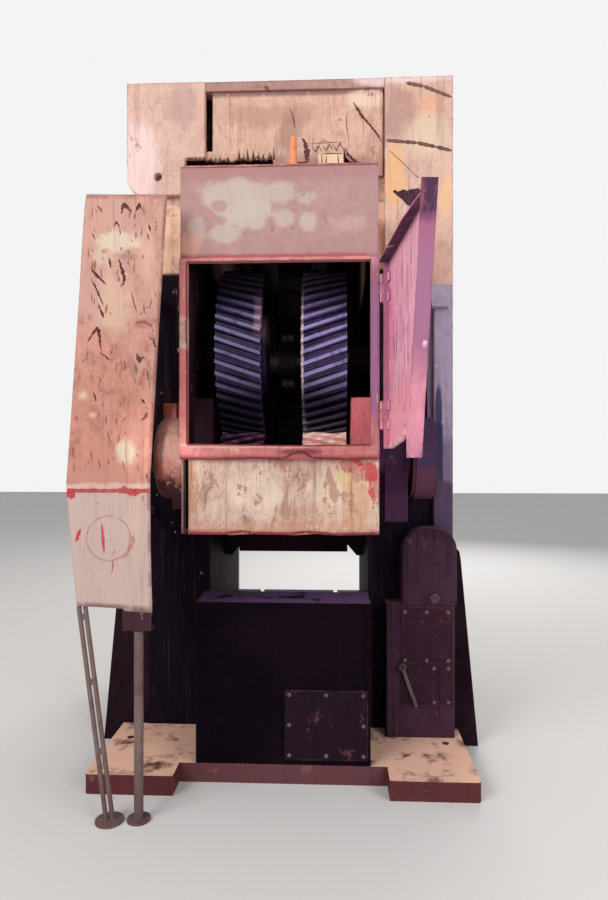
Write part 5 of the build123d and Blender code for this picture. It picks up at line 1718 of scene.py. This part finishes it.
@dataclass
class GearCase:
    """Fittings of the gear case: weld beads, sealant and the window's latch.

    Attributes:
        front: Y of the case's face, in metres.
        half_width: Half width of the case, in metres.
        bar_front: Y of the window frame's face, in metres.
        roof: Z of the weld along the header's upper edge.
        window: Z of the window frame's lower and upper edge.
        weld: Bead along the case's edges.
        sealant_lines: Y, width and course in (X, Z) of each line of sealant.
        latch_at: X and Z of the latch plate's middle.
        latch_section: Height from its middle and half width at each step up the latch plate.
        latch_thick: Thickness of the latch plate, in metres.
        latch_screw_rise: How far its screws lie from its middle, in metres.
        stud_height: Z of the stud on the case's left side.
    """

    front: float = CASE_FACE
    half_width: float = 0.44
    bar_front: float = -1.19
    roof: float = 2.862
    window: Flat = (1.562, 2.446)
    weld: Bead = Bead(0.012, 0.006)
    sealant_lines: tuple[tuple[float, float, Course], ...] = (
        (-1.19, 0.011, (
            (-0.438, 1.564), (-0.30, 1.561), (-0.12, 1.566), (0.02, 1.562), (0.075, 1.590), (0.105, 1.594),
            (0.15, 1.566), (0.30, 1.561), (0.438, 1.566),
        )),
        (-1.17, 0.013, (
            (-0.400, 1.230), (-0.25, 1.228), (-0.16, 1.240), (-0.12, 1.232), (0.05, 1.229), (0.12, 1.238),
            (0.25, 1.228), (0.438, 1.232),
        )),
        (-1.19, 0.007, ((-0.408, 1.625), (-0.200, 1.622), (0.10, 1.618), (0.405, 1.623))),
        (-1.19, 0.006, ((-0.408, 1.625), (-0.407, 2.05), (-0.409, 2.432))),
    )
    latch_at: Flat = (-0.423, 2.125)
    latch_section: Course = ((-0.055, 0.009), (-0.05, 0.012), (0.05, 0.012), (0.055, 0.009))
    latch_thick: float = 0.006
    latch_screw_rise: float = 0.035
    stud_height: float = 2.045

    def welds(self) -> Mesh:
        """Weld beads over the header and down both sides of the window.

        Returns:
            The mesh.
        """
        mesh = bmesh.new()
        side, (low, high) = self.half_width, self.window
        for seed, start, end, normal in (
            (31, (-side, self.front, self.roof), (side, self.front, self.roof), (0, -1, 1)),
            (33, (-side, self.front, low), (-side, self.front, high), (-1, -1, 0)),
            (35, (side, self.front, low), (side, self.front, high), (1, -1, 0)),
        ):
            self.weld.lay(mesh, [start, end], normal, seed)
        return mesh

    def sealant(self) -> Mesh:
        """Dark red sealant, squeezed out round the window and along the apron's lower edge.

        Returns:
            The mesh.
        """
        mesh = bmesh.new()
        for number, (y, width, line) in enumerate(self.sealant_lines):
            bead = Bead(width, width * 0.35, 0.014)
            for (x, z), (x_next, z_next) in zip(line, line[1:]):
                bead.lay(mesh, [(x, y, z), (x_next, y, z_next)], (0, -1, 0), seed=40 + number)
        return mesh

    def latch(self) -> Mesh:
        """The latch plate on the window frame's left bar, with its screws, and the stud beside it.

        Returns:
            The mesh.
        """
        mesh = bmesh.new()
        x, z = self.latch_at
        sunk, face = self.bar_front + 0.001, self.bar_front - self.latch_thick
        rows = []
        for rise, width in self.latch_section:
            outline = ((x - width, sunk), (x - width, face), (x + width, face), (x + width, sunk))
            rows.append([(at, y, z + rise) for at, y in outline])
        add_grid(mesh, rows)
        for rise in (-self.latch_screw_rise, self.latch_screw_rise):
            Screw(radius=0.006).drive(mesh, (x, face, z + rise), (0, -1, 0))
        stud = (-self.half_width, self.bar_front + 0.02, self.stud_height)
        Screw(radius=0.011, head=Head.HEXAGON).drive(mesh, stud, (-1, 0, 0))
        return mesh

    def build(self, shop: PaintShop) -> None:
        """Makes the gear case's fittings.

        Args:
            shop: Where the finishes come from.
        """
        shop.fit("case_weld_beads", self.welds(), "window_salmon")
        shop.fit("case_sealant", self.sealant(), "sealant_red")
        shop.fit("window_latch", self.latch(), "latch_bone")


@dataclass
class Door:
    """Scratches, torn edge and hinge strip on the inner face of the open inspection door.

    The sizes are drawn on the shut door, as distance from the hinge's axis and height.

    Attributes:
        axis_at: X and Y of the hinge's axis, in metres.
        angle: How far the door stands open, in degrees.
        inner_face: How far the inner face lies from the axis, in metres.
        scratched: Limits of the scratched stretch: nearest, farthest, lowest and highest.
        scratch_count: Number of scratches.
        torn: The torn lower edge.
        strip: Limits of the strip beside the hinge: nearest, farthest, lowest and highest.
        strip_steps: Number of faces along the strip.
    """

    axis_at: Flat = (0.455, -1.215)
    angle: float = 94.5
    inner_face: float = -0.026
    scratched: tuple[float, float, float, float] = (0.12, 0.56, 1.70, 2.26)
    scratch_count: int = 34
    torn: Course = (
        (0.030, 1.607), (0.120, 1.609), (0.190, 1.618), (0.250, 1.627), (0.330, 1.635), (0.374, 1.651),
        (0.392, 1.702),
    )
    strip: tuple[float, float, float, float] = (0.022, 0.052, 1.64, 2.38)
    strip_steps: int = 40

    @property
    def face(self) -> float:
        """Y of the shut door's inner face."""
        return self.axis_at[1] + self.inner_face

    def swung(self, mesh: Mesh) -> Mesh:
        """Turns a mesh drawn on the shut door to where the door stands.

        Args:
            mesh: The mesh.

        Returns:
            The same mesh.
        """
        axis = Vector((*self.axis_at, 0.0))
        turn = Matrix.Translation(axis) @ Matrix.Rotation(math.radians(self.angle), 4, "Z")
        mesh.transform(turn @ Matrix.Translation(-axis))
        return mesh

    def scratches(self) -> Mesh:
        """Upright scratches and runs.

        Returns:
            The mesh.
        """
        mesh = bmesh.new()
        chance = random.Random(61)
        near, far, low, high = self.scratched
        for number in range(self.scratch_count):
            x = self.axis_at[0] - chance.uniform(near, far)
            z = chance.uniform(low, high)
            length = chance.choice((0.03, 0.05, 0.09, 0.16))
            bend = chance.uniform(-0.008, 0.008)
            path = ((x, z), (x + bend, z + length * 0.5), (x + bend * 0.4, z + length))
            width = chance.uniform(0.004, 0.009)
            add_mark(mesh, path, width, lambda x, z: self.face, 70 + number, -0.001)
        return self.swung(mesh)

    def lip(self) -> Mesh:
        """Pale folded sheet along the torn edge.

        Returns:
            The mesh.
        """
        mesh = bmesh.new()
        chance = random.Random(63)
        rows: list[list[Point]] = []
        parts = 4
        for (reach, z), (reach_next, z_next) in zip(self.torn, self.torn[1:]):
            for step in range(parts):
                part = step / parts
                x = self.axis_at[0] - (reach + (reach_next - reach) * part)
                height = z + (z_next - z) * part
                fold = chance.uniform(0.010, 0.024)
                rows.append([
                    (x, self.face + 0.0005, height + 0.001), (x, self.face + 0.006, height + fold * 0.3),
                    (x, self.face + 0.004, height + fold * 0.8), (x, self.face + 0.0008, height + fold),
                ])
        add_grid(mesh, rows)
        return self.swung(mesh)

    def hinge_strip(self) -> Mesh:
        """The raised edge strip beside the hinge.

        Returns:
            The mesh.
        """
        mesh = bmesh.new()
        near, far, low, high = self.strip
        y, thick = self.face, 0.003
        rows = []
        for step in range(self.strip_steps + 1):
            z = low + (high - low) * step / self.strip_steps
            sway = 0.0015 * noise.noise(Vector((z * 9.0, 2.0, 5.0)))
            x_near, x_far = self.axis_at[0] - near + sway, self.axis_at[0] - far + sway
            rows.append([
                (x_near, y + 0.0003, z), (x_near, y + thick, z), (x_far, y + thick, z), (x_far, y, z),
            ])
        add_grid(mesh, rows)
        return self.swung(mesh)

    def build(self, shop: PaintShop) -> None:
        """Makes the door's fittings.

        Args:
            shop: Where the finishes come from.
        """
        shop.fit("door_scratches", self.scratches(), "mark_magenta", "door")
        shop.fit("door_torn_lip", self.lip(), "lip_pale", "door")
        shop.fit("door_hinge_strip", self.hinge_strip(), "strip_rose", "door")


@dataclass
class Fittings:
    """Screws on the cover panels, and weld beads at the feet and below the crown.

    Attributes:
        bed_panel: Y of the bed panel's face, and X and Z of its screws.
        cabinet_panels: Y of the cabinet panels' faces, and X and Z of their screws.
        lower_panel: X and Z of the lower cabinet panel's screws, clear of the pump lever.
        screw: One of the panels' screws.
        side: How far the uprights' outer faces lie from the middle, in metres.
        gusset_faces: Y of each gusset face, which way it looks, and the sides it is welded on.
        gusset_top: Z where the beads along the gussets end.
        gusset_bead: Bead along a gusset.
        foot_top: Z of the foot plates' upper faces.
        foot_ends: Y of both ends of the beads on the foot plates.
        foot_bead: Bead on a foot plate.
        beam_low: Z of the seam between the uprights and the crown beam.
        beam_ends: Y of both ends of that seam.
        beam_bead: Ground bead along that seam.
    """

    bed_panel: tuple[float, tuple[float, ...], tuple[float, ...]] = (
        -0.946, (0.032, 0.209, 0.386), (0.140, 0.285, 0.430),
    )
    cabinet_panels: tuple[float, tuple[float, ...], tuple[float, ...]] = (
        -0.626, (0.618, 0.731, 0.844), (0.498, 0.750),
    )
    lower_panel: tuple[tuple[float, ...], tuple[float, ...]] = ((0.770, 0.844), (0.280, 0.456))
    screw: Screw = Screw(0.0065, Head.HEXAGON)
    side: float = 0.780
    gusset_faces: tuple[tuple[float, int, tuple[int, ...]], ...] = (
        (-0.505, -1, (-1,)), (-0.475, 1, (-1, 1)), (0.545, -1, (-1, 1)), (0.575, 1, (-1, 1)),
    )
    gusset_top: float = 1.095
    gusset_bead: Bead = Bead(0.016, 0.008)
    foot_top: float = 0.092
    foot_ends: Flat = (-0.462, 0.532)
    foot_bead: Bead = Bead(0.018, 0.009)
    beam_low: float = 2.950
    beam_ends: Flat = (-0.40, 0.57)
    beam_bead: Bead = Bead(0.014, 0.004)

    def screws(self) -> Mesh:
        """Screws round the cover panels.

        Returns:
            The mesh.
        """
        mesh = bmesh.new()
        chance = random.Random(81)
        y, across, up = self.bed_panel
        places = [(x, y, z) for x in across for z in up if (x, z) != (across[1], up[1])]
        y, *whole = self.cabinet_panels
        for across, up in (whole, self.lower_panel):
            places += [(x, y, z) for x in across for z in up]
        for place in places:
            self.screw.drive(mesh, place, (0, -1, 0), chance.uniform(0, 60))
        return mesh

    def foot_welds(self) -> Mesh:
        """Fillets along the gussets and along the uprights' feet.

        Returns:
            The mesh.
        """
        mesh = bmesh.new()
        for number, (y, looks, sides) in enumerate(self.gusset_faces):
            for way in sides:
                path = [(way * self.side, y, self.foot_top + 0.012), (way * self.side, y, self.gusset_top)]
                self.gusset_bead.lay(mesh, path, (way, looks, 0), seed=90 + number)
        for way in (-1, 1):
            path = [(way * self.side, y, self.foot_top) for y in self.foot_ends]
            self.foot_bead.lay(mesh, path, (way, 0, 1), seed=97 + way)
        return mesh

    def beam_welds(self) -> Mesh:
        """Ground seams between the uprights and the crown beam.

        Returns:
            The mesh.
        """
        mesh = bmesh.new()
        for way in (-1, 1):
            path = [(way * self.side, y, self.beam_low) for y in self.beam_ends]
            self.beam_bead.lay(mesh, path, (way, 0, 0), seed=103 + way)
        return mesh

    def build(self, shop: PaintShop) -> None:
        """Makes the screws and the weld beads.

        Args:
            shop: Where the finishes come from.
        """
        shop.fit("panel_screws", self.screws(), "fastener_steel")
        shop.fit("foot_weld_beads", self.foot_welds(), "gusset_dark_with_painted_shade")
        shop.fit("beam_weld_beads", self.beam_welds(), "cover_cream")


@dataclass
class Sky:
    """Floor, lights and camera.

    Attributes:
        eye: Where the camera stands, in metres.
        turn_left: How far it looks to the left of straight ahead, in degrees.
        lens: Focal length for a 36 mm high sensor.
        floor_size: Half width of the floor, in metres.
        floor_colour: Colour of the floor.
        seen: Colour of the surround where the camera sees it.
        lit: Colour with which the surround lights the press.
        strength: How brightly it lights the press.
    """

    eye: Point = (0.236, -4.0, 1.6)
    turn_left: float = 2.5
    lens: float = 25.6
    floor_size: float = 20.0
    floor_colour: Colour = (0.74, 0.73, 0.72)
    seen: Colour = (0.90, 0.90, 0.91)
    lit: Colour = (1.0, 0.98, 0.97)
    strength: float = 0.47

    def floor(self) -> None:
        """Lays a pale floor."""
        mesh = bmesh.new()
        bmesh.ops.create_grid(mesh, x_segments=1, y_segments=1, size=self.floor_size)
        piece = add_object("studio_floor", mesh_data("studio_floor", mesh))
        material = bpy.data.materials.new("studio_floor")
        material.use_nodes = True
        shader = material.node_tree.nodes["Principled BSDF"]
        shader.inputs["Base Color"].default_value = (*self.floor_colour, 1.0)
        shader.inputs["Roughness"].default_value = 0.9
        piece.data.materials.append(material)

    def hang(self, light: bpy.types.Light, place: Point, aim: Point, power: float) -> None:
        """Hangs one lamp.

        Args:
            light: Its light.
            place: Where it hangs.
            aim: Point that it shines at.
            power: Power, in watts.
        """
        light.energy = power
        lamp = add_object(light.name, light)
        lamp.location = place
        lamp.rotation_euler = (Vector(aim) - Vector(place)).to_track_quat("-Z", "Y").to_euler()

    def lamp(self, name: str, place: Point, aim: Point, size: float, power: float) -> None:
        """Hangs one soft lamp.

        Args:
            name: Name of the lamp.
            place: Where it hangs.
            aim: Point that it shines at.
            size: Side of its square, in metres.
            power: Power, in watts.
        """
        light = bpy.data.lights.new(name, "AREA")
        light.size = size
        self.hang(light, place, aim, power)

    def spot(self, name: str, place: Point, aim: Point, angle: float, power: float) -> None:
        """Hangs one narrow lamp.

        Args:
            name: Name of the lamp.
            place: Where it hangs.
            aim: Point that it shines at.
            angle: Width of its cone, in degrees.
            power: Power, in watts.
        """
        light = bpy.data.lights.new(name, "SPOT")
        light.spot_size = math.radians(angle)
        light.spot_blend = 0.6
        light.shadow_soft_size = 0.1
        self.hang(light, place, aim, power)

    def world(self) -> None:
        """Sets a plain pale surround."""
        world = bpy.data.worlds.new("studio")
        world.use_nodes = True
        bpy.context.scene.world = world
        nodes, links = world.node_tree.nodes, world.node_tree.links
        nodes.clear()
        output = nodes.new("ShaderNodeOutputWorld")
        seen, lit = nodes.new("ShaderNodeBackground"), nodes.new("ShaderNodeBackground")
        seen.inputs[0].default_value = (*self.seen, 1.0)
        lit.inputs[0].default_value = (*self.lit, 1.0)
        lit.inputs[1].default_value = self.strength
        path, mix = nodes.new("ShaderNodeLightPath"), nodes.new("ShaderNodeMixShader")
        links.new(path.outputs["Is Camera Ray"], mix.inputs[0])
        links.new(lit.outputs[0], mix.inputs[1])
        links.new(seen.outputs[0], mix.inputs[2])
        links.new(mix.outputs[0], output.inputs[0])

    def camera(self) -> None:
        """Stands the camera where the photograph was taken from."""
        view = bpy.data.cameras.new("eye")
        view.sensor_fit = "VERTICAL"
        view.sensor_height = 36.0
        view.lens = self.lens
        camera = add_object("eye", view)
        camera.location = self.eye
        camera.rotation_euler = (math.radians(90), 0.0, math.radians(self.turn_left))
        bpy.context.scene.camera = camera

    def build(self) -> None:
        """Sets up the whole studio."""
        self.floor()
        self.world()
        self.lamp("front_left", (-4.5, -6.0, 5.0), (0.0, 0.0, 2.0), size=4.0, power=330.0)
        self.lamp("front_right", (4.5, -5.0, 3.5), (0.0, 0.0, 1.8), size=3.5, power=160.0)
        self.lamp("behind", (2.0, 6.0, 4.5), (0.0, 0.0, 2.0), size=4.0, power=230.0)
        self.spot("housing_spot", (-0.30, -3.9, 1.75), (-0.52, -0.83, 1.59), angle=8.0, power=180.0)
        self.camera()
        bpy.context.scene.view_settings.view_transform = "Standard"


def main() -> None:
    """Builds every piece and reports it."""
    logging.basicConfig(level=logging.INFO, format="%(message)s")
    shop = PaintShop()
    Sky().build()
    log.info("studio set")
    shop.dress_frame()
    log.info("frame dressed in %d finishes", len(shop.made))
    for name, assembly in (
        ("guard", Guard()), ("crown", Crown()), ("gear case", GearCase()), ("door", Door()),
        ("fittings", Fittings()),
    ):
        assembly.build(shop)
        log.info("%s fitted", name)


if __name__ == "__main__":
    main()
